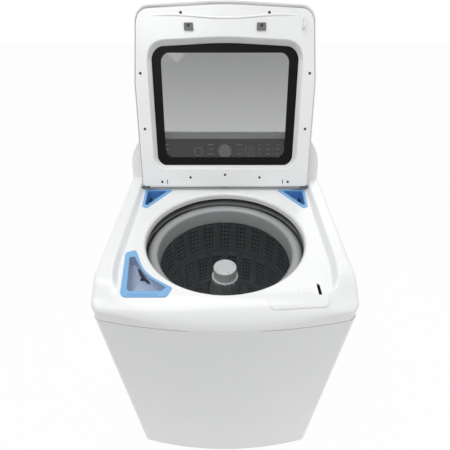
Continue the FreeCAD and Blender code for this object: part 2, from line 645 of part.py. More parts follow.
def make_console():
    pocket_low = (FASCIA_BOTTOM_Z - CONTROL_Z) / math.cos(math.radians(CONSOLE_FACE_LEAN))
    pocket_high = (CONSOLE_FACE_Z - CONTROL_Z) / math.cos(math.radians(CONSOLE_FACE_LEAN))
    middle = face_place(0, CONTROL_Z)
    half = FASCIA_HALF_WIDTH
    plan = ((-half, pocket_low, 14), (half, pocket_low, 14))
    plan += ((half, pocket_high, 14), (-half, pocket_high, 14))
    pocket = placed(slab(plan, -FASCIA_SINK, 20), middle)
    window = placed(box(-BOARD_HALF_WIDTH - 8, BOARD_HALF_WIDTH + 8, -30, 30, -20, 5), middle)
    shell = console_block(0).cut(console_block(CONSOLE_WALL, DECK_RIM_Z - 1))
    tray = placed(slab(plan, -CONSOLE_WALL - FASCIA_SINK, -FASCIA_SINK), middle)
    shell = shell.fuse(tray.common(console_block(0)))
    reach = BACK_HALF_WIDTH
    rear_hole = box(-reach, reach, BACK_COVER_Y + 4, CONSOLE_REAR_Y + 5, DECK_RIM_Z - 1, BACK_TOP_Z)
    save("console_housing", cut_all(shell, [pocket, window, rear_hole]).removeSplitter())

    cavity = console_block(CONSOLE_WALL)
    slice_box = box(-HALF_WIDTH, HALF_WIDTH, BACK_COVER_Y - 1.5, BACK_COVER_Y, DECK_RIM_Z, BACK_TOP_Z + 20)
    gland_hole = along_y(GLAND_RADIUS, GLAND_X, GLAND_Z, BACK_COVER_Y - 9, CONSOLE_REAR_Y)
    save("console_back_cover", slice_box.common(cavity).cut(gland_hole))

    fascia = slab([(x, y, r + 0.3) for x, y, r in plan], -FASCIA_SINK, FASCIA_THICKNESS - FASCIA_SINK)
    holes = [Part.makeCylinder(KNOB_SHAFT_RADIUS + 1, 40, V(0, 0, -20))]
    holes.append(Part.makeCylinder(START_RADIUS + BUTTON_CLEARANCE, 40, V(START_X, 0, -20)))
    holes += [button_block(x, BUTTON_CLEARANCE, -20, 20) for x in OPTION_BUTTON_X]
    holes.append(display_block(-20, 20))
    posts = []
    for x in (-BOARD_HALF_WIDTH + 6, BOARD_HALF_WIDTH - 6):
        for y in (-17, 17):
            posts.append(Part.makeCylinder(3, BOARD_DEPTH - FASCIA_SINK, V(x, y, -BOARD_DEPTH)))
    save("console_fascia", placed(cut_all(fuse([fascia] + posts), holes), middle))
    save("display_window", placed(display_block(-FASCIA_SINK, FASCIA_THICKNESS - FASCIA_SINK), middle))

    board = box(-BOARD_HALF_WIDTH, BOARD_HALF_WIDTH, -21, 21, -BOARD_DEPTH - 1.6, -BOARD_DEPTH)
    encoder = Part.makeCylinder(9, BOARD_DEPTH - FASCIA_SINK - 0.5, V(0, 0, -BOARD_DEPTH))
    module = box(DISPLAY_X - 12, DISPLAY_X + 12, -10, 10, -BOARD_DEPTH, -FASCIA_SINK - 0.2)
    bore = Part.makeCylinder(KNOB_SHAFT_RADIUS + SHAFT_CLEARANCE, 40, V(0, 0, -BOARD_DEPTH - 10))
    save("control_board", placed(fuse([board, encoder, module]).cut(bore), middle))


def button_block(x, extra, z0, z1):
    half_x = OPTION_BUTTON_WIDTH / 2 + extra
    half_y = OPTION_BUTTON_HEIGHT / 2 + extra
    return box(x - half_x, x + half_x, -half_y, half_y, z0, z1)


def display_block(z0, z1):
    return box(DISPLAY_X - 14, DISPLAY_X + 14, -13, 13, z0, z1)


def make_controls():
    middle = face_place(0, CONTROL_Z)
    face = FASCIA_THICKNESS - FASCIA_SINK
    low = face + 0.6
    profile = [(0, -BOARD_DEPTH + 1), (KNOB_SHAFT_RADIUS, -BOARD_DEPTH + 1), (KNOB_SHAFT_RADIUS, low)]
    profile += [(KNOB_RADIUS, low), (KNOB_RADIUS, low + 3), (KNOB_RADIUS - 2, face + KNOB_HEIGHT - 1.5)]
    profile += [(KNOB_RADIUS - 4, face + KNOB_HEIGHT), (0, face + KNOB_HEIGHT)]
    save("selector_knob", placed(turned(profile, V(0, 0, 0)), middle))
    proud = face + BUTTON_PROUD
    profile = [(0, -8), (3, -8), (3, -FASCIA_SINK - 1.6), (START_RADIUS + 2, -FASCIA_SINK - 1.6)]
    profile += [(START_RADIUS + 2, -FASCIA_SINK - 0.3), (START_RADIUS, -FASCIA_SINK - 0.3)]
    profile += [(START_RADIUS, proud - 0.8), (START_RADIUS - 0.8, proud), (0, proud)]
    save("start_button", placed(turned(profile, V(START_X, 0, 0)), middle))
    for index, x in enumerate(OPTION_BUTTON_X):
        key = button_block(x, 0, -FASCIA_SINK - 1.6, proud)
        key = key.makeFillet(0.8, level_edges(key, proud))
        flange = button_block(x, 1.6, -FASCIA_SINK - 1.6, -FASCIA_SINK - 0.3)
        stem = Part.makeCylinder(2, 6, V(x, 0, -8))
        save("option_button_%d" % (index + 1), placed(fuse([key, flange, stem]), middle))


def inlet_places():
    return (INLET_X - INLET_SPACING / 2, INLET_X + INLET_SPACING / 2)


def make_services():
    inner_y = CABINET_REAR_Y - CABINET_SHEET
    body = box(INLET_X - 56, INLET_X + 56, inner_y - 34, inner_y, INLET_Z - 19, INLET_Z + 19)
    coils = [Part.makeCylinder(14, 40, V(x, inner_y - 17, INLET_Z - 56)) for x in inlet_places()]
    ports = []
    bores = []
    for x in inlet_places():
        end_y = CABINET_REAR_Y + INLET_THREAD_LENGTH
        ports.append(along_y(INLET_THREAD_RADIUS, x, INLET_Z, inner_y - 1, end_y))
        bores.append(along_y(INLET_THREAD_RADIUS - 3.5, x, INLET_Z, inner_y - 14, CONSOLE_REAR_Y + 15))
    save("water_inlet_valve", cut_all(fuse([body] + coils + ports), bores))
    inner_y = BACK_COVER_Y - 1.5
    gland = along_y(GLAND_RADIUS, GLAND_X, GLAND_Z, inner_y, BACK_COVER_Y + 1)
    flange = along_y(GLAND_RADIUS + 3, GLAND_X, GLAND_Z, BACK_COVER_Y, BACK_COVER_Y + 3)
    nut = along_y(GLAND_RADIUS + 3, GLAND_X, GLAND_Z, inner_y - 4, inner_y)
    cord_bore = along_y(CORD_BORE_RADIUS, GLAND_X, GLAND_Z, inner_y - 10, CONSOLE_REAR_Y)
    save("cord_gland", fuse([gland, flange, nut]).cut(cord_bore))


# --- lid, drawn in its own frame: X across, Y from the hinge edge, Z out of the inner face -----
def lid_place():
    lean = math.radians(LID_OPEN_LEAN)
    along = V(0, math.sin(lean), math.cos(lean))
    out = V(0, -math.cos(lean), math.sin(lean))
    corner = V(0, HINGE_Y, HINGE_Z) - along * HINGE_INSET + out * HINGE_DEPTH
    return FreeCAD.Placement(corner, FreeCAD.Rotation(V(1, 0, 0), 90 - LID_OPEN_LEAN))


def lid_outline(side, front, rear):
    """The lid's plan, drawn in by an inset at the sides, the front and the hinge edge."""
    half = LID_HALF_WIDTH - side
    right = [(half, rear, 10), (half, 330, 300), (half - 19, LID_LENGTH - 11.6 - front, 45 - side)]
    left = [(-x, y, radius) for x, y, radius in reversed(right)]
    return right + [(0, LID_LENGTH + 1.9 - front, 1500)] + left


def window_outline(grow):
    right = [(WINDOW_HALF_WIDTH + grow, WINDOW_BOTTOM_S - grow, WINDOW_CORNER - 8 + grow),
             (WINDOW_HALF_WIDTH + 2 + grow, WINDOW_TOP_S - 10 + grow, WINDOW_CORNER + 4 + grow)]
    left = [(-x, y, radius) for x, y, radius in reversed(right)]
    return right + [(0, WINDOW_TOP_S + 2 + grow, 1200)] + left


def lid_screw_places():
    places = [(0, 41.6)]
    for x, y in LID_SCREWS:
        places += [(x, y), (-x, y)]
    return places


def make_lid():
    place = lid_place()
    back = -LID_THICKNESS
    skin = back + LID_SHELL
    seam = LID_SEAM_INSET
    wells = []
    for side in (-1, 1):
        x0 = KNUCKLE_WELL_X if side > 0 else -LID_HALF_WIDTH - 2
        length = LID_HALF_WIDTH + 2 - KNUCKLE_WELL_X
        start = V(x0, HINGE_INSET, -HINGE_DEPTH)
        wells.append(Part.makeCylinder(EAR_RADIUS + 0.5, length, start, V(1, 0, 0)))

    outer = slab(lid_outline(0, 0, 0), back, -0.8)
    outer = outer.makeFillet(LID_EDGE_RADIUS, level_edges(outer, back))
    outer = outer.cut(slab(lid_outline(LID_SHELL, seam - 1, LID_SHELL), skin, 1))
    posts = [Part.makeCylinder(5, -LID_SHELL - skin, V(x, y, skin)) for x, y in lid_screw_places()]
    pilots = [Part.makeCylinder(1.8, 15, V(x, y, -LID_SHELL - 14)) for x, y in lid_screw_places()]
    outer = fuse([outer] + posts)
    window = slab(window_outline(0), back - 1, skin + 1)
    save("lid_outer_panel", placed(cut_all(outer, [window] + pilots + wells), place))

    plate = slab(lid_outline(LID_SHELL + 1, seam, LID_SHELL + 0.6), -LID_SHELL, 0)
    collar = funnel(window_outline(LID_SHELL), -COLLAR_DEPTH, window_outline(COLLAR_SPREAD + LID_SHELL), 0)
    throat = funnel(window_outline(0), -COLLAR_DEPTH, window_outline(COLLAR_SPREAD), 0)
    holes = []
    for x, y in lid_screw_places():
        holes.append(Part.makeCylinder(2, 10, V(x, y, -8)))
        holes.append(Part.makeCylinder(SCREW_HEAD_RADIUS + 0.3, 5, V(x, y, -SCREW_HEAD_HEIGHT)))
    for side in (-1, 1):
        slot_x = side * LID_SLOT_X
        holes.append(box(slot_x - 1.5, slot_x + 1.5, LID_SLOT_S[0], LID_SLOT_S[1], -8, 2))
    save("lid_inner_panel", placed(cut_all(plate.fuse(collar).cut(throat), holes + wells), place))

    save("lid_glass", placed(slab(window_outline(9), skin, -COLLAR_DEPTH), place))

    bumpers = []
    for side in (-1, 1):
        x = side * BUMPER_X
        low_s, high_s = BUMPER_S
        pad = box(x - BUMPER_HALF_WIDTH, x + BUMPER_HALF_WIDTH, low_s, high_s, 0, BUMPER_HEIGHT)
        pad = pad.makeFillet(2, vertical_edges(pad))
        pad = pad.cut(Part.makeCylinder(4, 10, V(x + side, low_s + 11, 1.5)))
        bumpers.append(placed(pad, place))
    save("lid_bumpers", *bumpers)

    screws = []
    for x, y in lid_screw_places():
        head = Part.makeCylinder(SCREW_HEAD_RADIUS, SCREW_HEAD_HEIGHT, V(x, y, -SCREW_HEAD_HEIGHT))
        shank = Part.makeCylinder(1.8, 12, V(x, y, -12 - SCREW_HEAD_HEIGHT))
        screws.append(placed(head.fuse(shank), place))
    save("lid_screws", *screws)

    half = STRIKE_THICKNESS / 2
    blade = box(STRIKE_X - half, STRIKE_X + half, STRIKE_S[0], STRIKE_S[1], 0, STRIKE_HEIGHT)
    foot = box(STRIKE_X - 7, STRIKE_X + 7, STRIKE_S[0] - 4, STRIKE_S[1] + 2, 0, 1.5)
    low_s, high_s = STRIKE_S
    eye = box(STRIKE_X - 5, STRIKE_X + 5, low_s + 9, high_s - 9, STRIKE_HEIGHT - 14, STRIKE_HEIGHT - 5)
    save("lid_strike", placed(fuse([blade, foot]).cut(eye), place))

    knuckles = []
    for side in (-1, 1):
        x0 = KNUCKLE_START_X if side > 0 else -LID_HALF_WIDTH + 0.6
        length = LID_HALF_WIDTH - 0.6 - KNUCKLE_START_X
        axis_point = V(x0, HINGE_INSET, -HINGE_DEPTH)
        barrel = Part.makeCylinder(EAR_RADIUS, length, axis_point, V(1, 0, 0))
        t0, t1 = sorted((side * KNUCKLE_START_X, side * (LID_HALF_WIDTH - LID_SHELL - 1)))
        tongue = box(t0, t1, HINGE_INSET, 34, -HINGE_DEPTH - 5, -LID_SHELL)
        bore_start = axis_point - V(2, 0, 0)
        bore = Part.makeCylinder(HINGE_PIN_RADIUS + HINGE_CLEARANCE, length + 4, bore_start, V(1, 0, 0))
        knuckles.append(placed(fuse([barrel, tongue]).cut(bore), place))
    save("lid_knuckles", *knuckles)


# --- tub -------------------------------------------------------------------------------------
def make_tub():
    inner = TUB_RADIUS - TUB_WALL
    floor = TUB_BOTTOM_Z + TUB_WALL
    hub_top = TUB_BOTTOM_Z + 30
    hub_low = TUB_BOTTOM_Z - 27
    profile = [(BEARING_RADIUS, hub_low), (BEARING_RADIUS + 7, hub_low), (BEARING_RADIUS + 7, TUB_BOTTOM_Z)]
    profile += [(TUB_RADIUS - 25, TUB_BOTTOM_Z), (TUB_RADIUS, TUB_BOTTOM_Z + 25), (TUB_RADIUS, TUB_TOP_Z)]
    profile += [(inner, TUB_TOP_Z), (inner, floor + 24), (inner - 24, floor), (BEARING_RADIUS + 7, floor)]
    profile += [(BEARING_RADIUS + 7, hub_top), (SEAL_RADIUS, hub_top), (SEAL_RADIUS, hub_top - 11)]
    profile += [(BEARING_RADIUS, hub_top - 11)]
    tub = turned(profile)
    lugs = []
    bores = []
    for centre in rod_places():
        bearing = math.degrees(math.atan2(centre.y - AXIS.y, centre.x - AXIS.x))
        half = LUG_THICKNESS / 2
        arm = box(TUB_RADIUS - 2, ROD_OFFSET * math.sqrt(2), -15, 15, LUG_Z - half, LUG_Z + half)
        arm.rotate(V(0, 0, 0), V(0, 0, 1), bearing)
        arm.translate(AXIS)
        lugs += [arm, rod(19, LUG_Z - LUG_THICKNESS / 2, LUG_Z + LUG_THICKNESS / 2, centre)]
        bores.append(rod(ROD_RADIUS + 4, LUG_Z - 20, LUG_Z + 20, centre))
    save("outer_tub", cut_all(fuse([tub] + lugs), bores))

    z0 = TUB_TOP_Z
    ring = [(TUB_MOUTH_RADIUS, z0), (TUB_RADIUS, z0), (TUB_RADIUS, z0 + 9), (TUB_RADIUS - 6, z0 + 16)]
    ring += [(TUB_MOUTH_RADIUS + 4, z0 + 18), (TUB_MOUTH_RADIUS, z0 + 12)]
    save("tub_cover_ring", turned(ring))

    upper = hub_top - 11
    bearing_bore = SPIN_TUBE_RADIUS + SHAFT_CLEARANCE
    save("upper_bearing", tube(BEARING_RADIUS, bearing_bore, upper - 15, upper))
    save("tub_seal", tube(SEAL_RADIUS, bearing_bore, upper, upper + 10))

    plate_low = TUB_BOTTOM_Z - 4
    plate = tube(SUPPORT_RADIUS, BEARING_RADIUS + 7.5, plate_low, TUB_BOTTOM_Z)
    ribs = []
    for centre in rod_places():
        bearing = math.degrees(math.atan2(centre.y - AXIS.y, centre.x - AXIS.x))
        rib = box(70, SUPPORT_RADIUS - 4, -2, 2, plate_low - 12, plate_low)
        rib.rotate(V(0, 0, 0), V(0, 0, 1), bearing + 12)
        rib.translate(AXIS)
        motor_gap = rod(65, plate_low - 20, plate_low + 1, motor_place())
        ribs.append(rib.cut(motor_gap).cut(rod(96, plate_low - 20, plate_low + 1)))
    save("tub_support", fuse([plate] + ribs))

    case_low = CASE_BOTTOM_Z
    case = [(BEARING_RADIUS, case_low), (CASE_RADIUS - 8, case_low), (CASE_RADIUS, case_low + 8)]
    case += [(CASE_RADIUS, plate_low - 10), (CASE_RADIUS + 32, plate_low - 6), (CASE_RADIUS + 32, plate_low)]
    case += [(BEARING_RADIUS + 8, plate_low), (BEARING_RADIUS + 8, hub_low - 4)]
    case += [(CASE_RADIUS - 6, hub_low - 14)]
    case += [(CASE_RADIUS - 6, case_low + 24), (BEARING_RADIUS, case_low + 18)]
    save("transmission_case", turned(case))
    save("lower_bearing", tube(BEARING_RADIUS, bearing_bore, case_low + 1, case_low + 17))


def motor_place():
    return V(AXIS.x + MOTOR_OFFSET[0], AXIS.y + MOTOR_OFFSET[1], 0)


def make_drive():
    plate_low = TUB_BOTTOM_Z - 4
    bore = MOTOR_SHAFT_RADIUS + SHAFT_CLEARANCE
    motor = [(bore, 96), (40, 96), (MOTOR_RADIUS, 104), (MOTOR_RADIUS, 190)]
    motor += [(44, 198), (30, 204), (30, plate_low)]
    motor += [(14, plate_low), (14, 160), (bore, 160)]
    save("drive_motor", turned(motor, motor_place()))

    low = PULLEY_Z - PULLEY_WIDTH / 2
    high = PULLEY_Z + PULLEY_WIDTH / 2
    small = [(0, low), (MOTOR_PULLEY_RADIUS, low), (MOTOR_PULLEY_RADIUS, high), (12, high), (12, high + 6)]
    small += [(MOTOR_SHAFT_RADIUS, high + 6), (MOTOR_SHAFT_RADIUS, 158), (0, 158)]
    save("motor_pulley", turned(small, motor_place()))

    rim = DRIVE_PULLEY_RADIUS
    big = [(DRIVE_SHAFT_RADIUS, low - 6), (20, low - 6), (20, PULLEY_Z - 2)]
    big += [(rim - 11, PULLEY_Z - 2), (rim - 11, low)]
    big += [(rim, low), (rim, high), (rim - 11, high), (rim - 11, PULLEY_Z + 2), (20, PULLEY_Z + 2)]
    big += [(20, high + 6), (DRIVE_SHAFT_RADIUS, high + 6)]
    pulley = turned(big)
    windows = []
    for index in range(6):
        angle = math.radians(60 * index)
        spot = V(AXIS.x + 50 * math.cos(angle), AXIS.y + 50 * math.sin(angle), 0)
        windows.append(rod(15, low - 5, high + 5, spot))
    save("drive_pulley", cut_all(pulley, windows))

    outer = belt_slab(BELT_CLEARANCE + BELT_THICKNESS)
    save("drive_belt", outer.cut(belt_slab(BELT_CLEARANCE)))

    pump = V(PUMP_PLACE[0], PUMP_PLACE[1], 0)
    body = [(0, 112), (28, 112), (28, 158), (42, 160), (42, 204), (16, 210)]
    body += [(16, TUB_BOTTOM_Z), (11, TUB_BOTTOM_Z)]
    body += [(11, 200), (38, 198), (38, 166), (0, 166)]
    spigot = Part.makeCylinder(13, 46, V(pump.x, pump.y + 20, 184), V(0, 1, 0))
    spigot = spigot.cut(Part.makeCylinder(10, 60, V(pump.x, pump.y + 15, 184), V(0, 1, 0)))
    spigot = spigot.cut(rod(40, 150, 215, pump))
    save("drain_pump", fuse([turned(body, pump), spigot]))


def belt_slab(extra):
    """The closed loop round both pulleys, out to a distance from their rims."""
    big = DRIVE_PULLEY_RADIUS + extra
    small = MOTOR_PULLEY_RADIUS + extra
    low = PULLEY_Z - PULLEY_WIDTH / 2 + 2
    high = PULLEY_Z + PULLEY_WIDTH / 2 - 2
    far = motor_place()
    span = far.x - AXIS.x
    angle = math.acos((big - small) / span)
    points = []
    for centre, radius, sign in ((AXIS, big, 1), (far, small, 1), (far, small, -1), (AXIS, big, -1)):
        points.append((centre.x + radius * math.cos(angle), centre.y + sign * radius * math.sin(angle)))
    return fuse([rod(big, low, high), rod(small, low, high, far), prism(points, low, high)])


# --- basket and agitator -----------------------------------------------------------------------
def make_basket():
    inner = BASKET_RADIUS - BASKET_WALL
    drum = tube(BASKET_RADIUS, inner, BASE_Z - 8, TUB_TOP_Z)
    pads = []
    for row_z in PERFORATION_ROWS:
        for index in range(PERFORATION_COUNT):
            angle = 360.0 * index / PERFORATION_COUNT
            drill = Part.makeCylinder(4, 20, V(BASKET_RADIUS - 10, 0, row_z), V(1, 0, 0))
            drill.rotate(V(0, 0, 0), V(0, 0, 1), angle)
            drill.translate(AXIS)
            pads.append(drill)
    save("wash_basket", drum.cut(Part.makeCompound(pads)))

    ring = [(RING_INNER_RADIUS, RING_BOTTOM_Z), (inner, RING_BOTTOM_Z), (inner, TUB_TOP_Z - 2)]
    ring += [(inner - 4, RING_TOP_Z - 5), (inner - 13, RING_TOP_Z), (RING_INNER_RADIUS + 6, RING_TOP_Z - 3)]
    ring += [(RING_INNER_RADIUS, RING_TOP_Z - 10)]
    save("balance_ring", turned(ring))

    floor = BASE_Z
    base = [(SPIN_TUBE_RADIUS, floor), (inner - 6, floor), (inner, floor - 6)]
    base += [(inner, floor + 22), (inner - 4, floor + 22)]
    base += [(inner - 12, floor + 6), (62, floor + 6), (56, floor + 20), (SPIN_TUBE_RADIUS, floor + 20)]
    save("basket_base", turned(base))

    bore = DRIVE_SHAFT_RADIUS + SHAFT_CLEARANCE
    tube_low = CASE_BOTTOM_Z - 2
    shaft = [(bore, tube_low), (SPIN_TUBE_RADIUS, tube_low), (SPIN_TUBE_RADIUS, floor - 8), (40, floor - 8)]
    shaft += [(40, floor), (SPIN_TUBE_RADIUS, floor), (SPIN_TUBE_RADIUS, floor + 34), (bore, floor + 34)]
    save("spin_tube", turned(shaft))
    corners = [math.radians(60 * index) for index in range(6)]
    hexagon = [(27 * math.cos(turn), AXIS.y + 27 * math.sin(turn)) for turn in corners]
    save("hub_nut", prism(hexagon, floor + 20, floor + 29).cut(rod(SPIN_TUBE_RADIUS, floor, floor + 60)))


def make_agitator():
    foot = BASE_Z + 12
    neck_z = AGITATOR_NECK_Z
    skirt = AGITATOR_SKIRT_RADIUS
    shaft = DRIVE_SHAFT_RADIUS
    outside = [(skirt, foot), (skirt, foot + 6), (skirt * 0.8, foot + 24), (skirt * 0.6, foot + 58)]
    outside += [(skirt * 0.44, foot + 105), (58, neck_z - 40), (56, neck_z), (47, neck_z), (47, neck_z + 18)]
    inside = [(shaft, neck_z + 18), (shaft, neck_z - 110), (16, neck_z - 110)]
    inside += [(16, neck_z - 8), (43, neck_z - 8)]
    inside += [(52, neck_z - 42), (skirt * 0.44 - 4, foot + 101), (skirt * 0.6 - 4, foot + 54)]
    inside += [(skirt * 0.8 - 3, foot + 20), (skirt - 5, foot + 3), (skirt - 5, foot)]
    shell = turned(outside + inside)
    vanes = []
    for index in range(VANE_COUNT):
        section = [(50, neck_z - 6), (50, foot + 100), (skirt * 0.6 - 2, foot + 57)]
        section += [(skirt * 0.8 - 2, foot + 23)]
        section += [(skirt - 4, foot + 8), (skirt - 5, foot + 26)]
        section += [(skirt * 0.8, foot + 52), (skirt * 0.6, foot + 92)]
        section += [(70, foot + 140)]
        vane = side_prism(section, -VANE_THICKNESS / 2, VANE_THICKNESS / 2)
        vane.rotate(V(0, 0, 0), V(0, 0, 1), 360.0 * index / VANE_COUNT + VANE_START)
        vane.translate(AXIS)
        vanes.append(vane)
    save("agitator_base", fuse([shell] + vanes).cut(rod(shaft, neck_z - 120, neck_z + 30)))

    cap_low = AGITATOR_TOP_Z - CAP_HEIGHT
    column = [(47.5, neck_z), (56, neck_z), (50, neck_z + 90), (45, cap_low), (0, cap_low), (0, cap_low - 4)]
    column += [(41, cap_low - 4), (46, neck_z + 90), (47.5, neck_z + 22)]
    fins = []
    for index in range(VANE_COUNT):
        section = [(42, neck_z + 4), (62, neck_z + 4), (63, neck_z + 160)]
        section += [(52, cap_low - 30), (41, cap_low - 8)]
        fin = side_prism(section, -2.5, 2.5)
        fin.rotate(V(0, 0, 0), V(0, 0, 1), 360.0 * index / VANE_COUNT + VANE_START)
        fin.translate(AXIS)
        fins.append(fin.cut(rod(47, neck_z, neck_z + 60)))
    save("agitator_column", fuse([turned(column)] + fins))

    cap_radius = AGITATOR_CAP_RADIUS
    cap = [(cap_radius - 4, cap_low), (cap_radius + 3, cap_low), (cap_radius, cap_low + 4)]
    cap += [(cap_radius, AGITATOR_TOP_Z - 2), (cap_radius - 2, AGITATOR_TOP_Z), (0, AGITATOR_TOP_Z)]
    cap += [(0, AGITATOR_TOP_Z - 4), (cap_radius - 4, AGITATOR_TOP_Z - 4)]
    save("agitator_cap", turned(cap))
    save("drive_shaft", rod(shaft, PULLEY_Z - PULLEY_WIDTH / 2 - 10, neck_z + 12))


os.makedirs("parts", exist_ok=True)
make_cabinet()
make_drain_outlet()
make_base()
make_corner_braces()
make_suspension()
make_deck()
make_dispensers()
make_lid_lock()
make_hinge_brackets()
make_console()
make_controls()
make_services()
make_lid()
make_tub()
make_drive()
make_basket()
make_agitator()
write_nodes()
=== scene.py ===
"""A top load washing machine with its lid up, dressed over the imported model."""
from __future__ import annotations

import json
import logging
import math
from dataclasses import dataclass, field
from enum import Enum

import bmesh
import bpy
from mathutils import Matrix, Vector

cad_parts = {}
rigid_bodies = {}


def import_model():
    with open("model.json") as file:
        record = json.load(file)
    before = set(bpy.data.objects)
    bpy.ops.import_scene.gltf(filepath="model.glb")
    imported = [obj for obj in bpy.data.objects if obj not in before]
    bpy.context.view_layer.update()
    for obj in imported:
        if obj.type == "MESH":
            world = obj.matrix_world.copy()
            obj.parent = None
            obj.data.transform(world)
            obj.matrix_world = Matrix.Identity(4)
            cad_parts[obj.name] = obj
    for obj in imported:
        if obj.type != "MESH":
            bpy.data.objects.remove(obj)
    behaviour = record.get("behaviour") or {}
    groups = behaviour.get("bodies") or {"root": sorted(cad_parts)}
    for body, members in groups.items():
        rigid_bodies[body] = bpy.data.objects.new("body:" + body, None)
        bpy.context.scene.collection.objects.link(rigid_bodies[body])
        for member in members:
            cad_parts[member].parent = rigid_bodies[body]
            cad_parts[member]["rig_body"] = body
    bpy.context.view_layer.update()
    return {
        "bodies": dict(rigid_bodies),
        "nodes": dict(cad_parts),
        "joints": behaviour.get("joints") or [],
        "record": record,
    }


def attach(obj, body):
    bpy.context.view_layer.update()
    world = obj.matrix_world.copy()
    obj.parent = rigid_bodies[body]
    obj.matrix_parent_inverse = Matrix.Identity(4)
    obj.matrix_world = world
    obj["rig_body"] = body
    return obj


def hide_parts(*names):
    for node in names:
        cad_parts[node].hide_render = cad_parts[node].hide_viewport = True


LOG = logging.getLogger("washer")
MM = 0.001
LEAN = math.radians(24.5)
ALONG = Vector((0.0, math.sin(LEAN), math.cos(LEAN)))
OUT = Vector((0.0, -math.cos(LEAN), math.sin(LEAN)))


# --- colours and nodes --------------------------------------------------------------------------
def linear(code: str) -> tuple[float, float, float, float]:
    """Turn an sRGB hex colour into the linear one that a shader takes.

    Args:
        code: six hex digits.

    Returns:
        Red, green, blue and a full alpha.
    """
    parts = [int(code[i:i + 2], 16) / 255.0 for i in (0, 2, 4)]
    lin = [c / 12.92 if c <= 0.04045 else ((c + 0.055) / 1.055) ** 2.4 for c in parts]
    return (lin[0], lin[1], lin[2], 1.0)


def add_node(tree: bpy.types.NodeTree, kind: str, inputs: dict | None = None, **settings) -> bpy.types.Node:
    """Add a shader node with its settings and links.

    Args:
        tree: the material's node tree.
        kind: the node's type name.
        inputs: for each input, a value or the socket that feeds it.
        settings: attributes to set on the node first.

    Returns:
        The new node.
    """
    node = tree.nodes.new(kind)
    for name, value in settings.items():
        setattr(node, name, value)
    for name, value in (inputs or {}).items():
        if isinstance(value, bpy.types.NodeSocket):
            tree.links.new(value, node.inputs[name])
        else:
            node.inputs[name].default_value = value
    return node


class Grain(Enum):
    """How a surface's fine pattern is laid."""

    CLOUD = "even moulded or sprayed grain"
    SPANGLE = "zinc crystals"
    BRUSHED = "fine lines round the part"


@dataclass(frozen=True)
class Finish:
    """One surface: what it is made of, how it was made, and what that gives the eye."""

    name: str
    colour: str
    tone: str
    rough: tuple[float, float]
    metallic: float = 0.0
    coat: float = 0.0
    grain: Grain = Grain.CLOUD
    grain_mm: float = 1.2
    relief_mm: float = 0.02
    transmission: float = 0.0
    specular: float = 0.5

    def material(self) -> bpy.types.Material:
        """Build the material once, and give the same one each time after.

        Returns:
            The material.
        """
        found = bpy.data.materials.get(self.name)
        if found:
            return found
        made = bpy.data.materials.new(self.name)
        made.use_nodes = True
        tree = made.node_tree
        shader = tree.nodes["Principled BSDF"]
        place = add_node(tree, "ShaderNodeTexCoord").outputs["Object"]
        fine = self._pattern(tree, place)
        drift = add_node(tree, "ShaderNodeTexNoise", {"Vector": place, "Scale": 9.0, "Detail": 2.0})
        both = add_node(tree, "ShaderNodeMath", {0: fine, 1: drift.outputs["Fac"]}, operation="MULTIPLY")
        blend = add_node(tree, "ShaderNodeMix", {0: both.outputs[0], 6: linear(self.colour),
                                                 7: linear(self.tone)}, data_type="RGBA")
        rough = add_node(tree, "ShaderNodeMapRange", {"Value": fine, "To Min": self.rough[0],
                                                      "To Max": self.rough[1]})
        bump = add_node(tree, "ShaderNodeBump", {"Height": fine, "Strength": 0.5,
                                                 "Distance": self.relief_mm * MM})
        tree.links.new(blend.outputs[2], shader.inputs["Base Color"])
        tree.links.new(rough.outputs[0], shader.inputs["Roughness"])
        tree.links.new(bump.outputs[0], shader.inputs["Normal"])
        shader.inputs["Metallic"].default_value = self.metallic
        shader.inputs["Coat Weight"].default_value = self.coat
        shader.inputs["Coat Roughness"].default_value = 0.08
        shader.inputs["Transmission Weight"].default_value = self.transmission
        shader.inputs["Specular IOR Level"].default_value = self.specular
        return made

    def _pattern(self, tree: bpy.types.NodeTree, place: bpy.types.NodeSocket) -> bpy.types.NodeSocket:
        """Lay the fine pattern at its real size.

        Args:
            tree: the material's node tree.
            place: the socket that gives each point's place.

        Returns:
            The socket that carries the pattern.
        """
        scale = 1.0 / (self.grain_mm * MM)
        if self.grain is Grain.SPANGLE:
            return add_node(tree, "ShaderNodeTexVoronoi", {"Vector": place, "Scale": scale}).outputs["Color"]
        if self.grain is Grain.BRUSHED:
            stretched = add_node(tree, "ShaderNodeMapping", {"Vector": place, "Scale": (0.04, 0.04, 1.0)})
            place = stretched.outputs[0]
        return add_node(tree, "ShaderNodeTexNoise", {"Vector": place, "Scale": scale,
                                                     "Detail": 3.0}).outputs["Fac"]


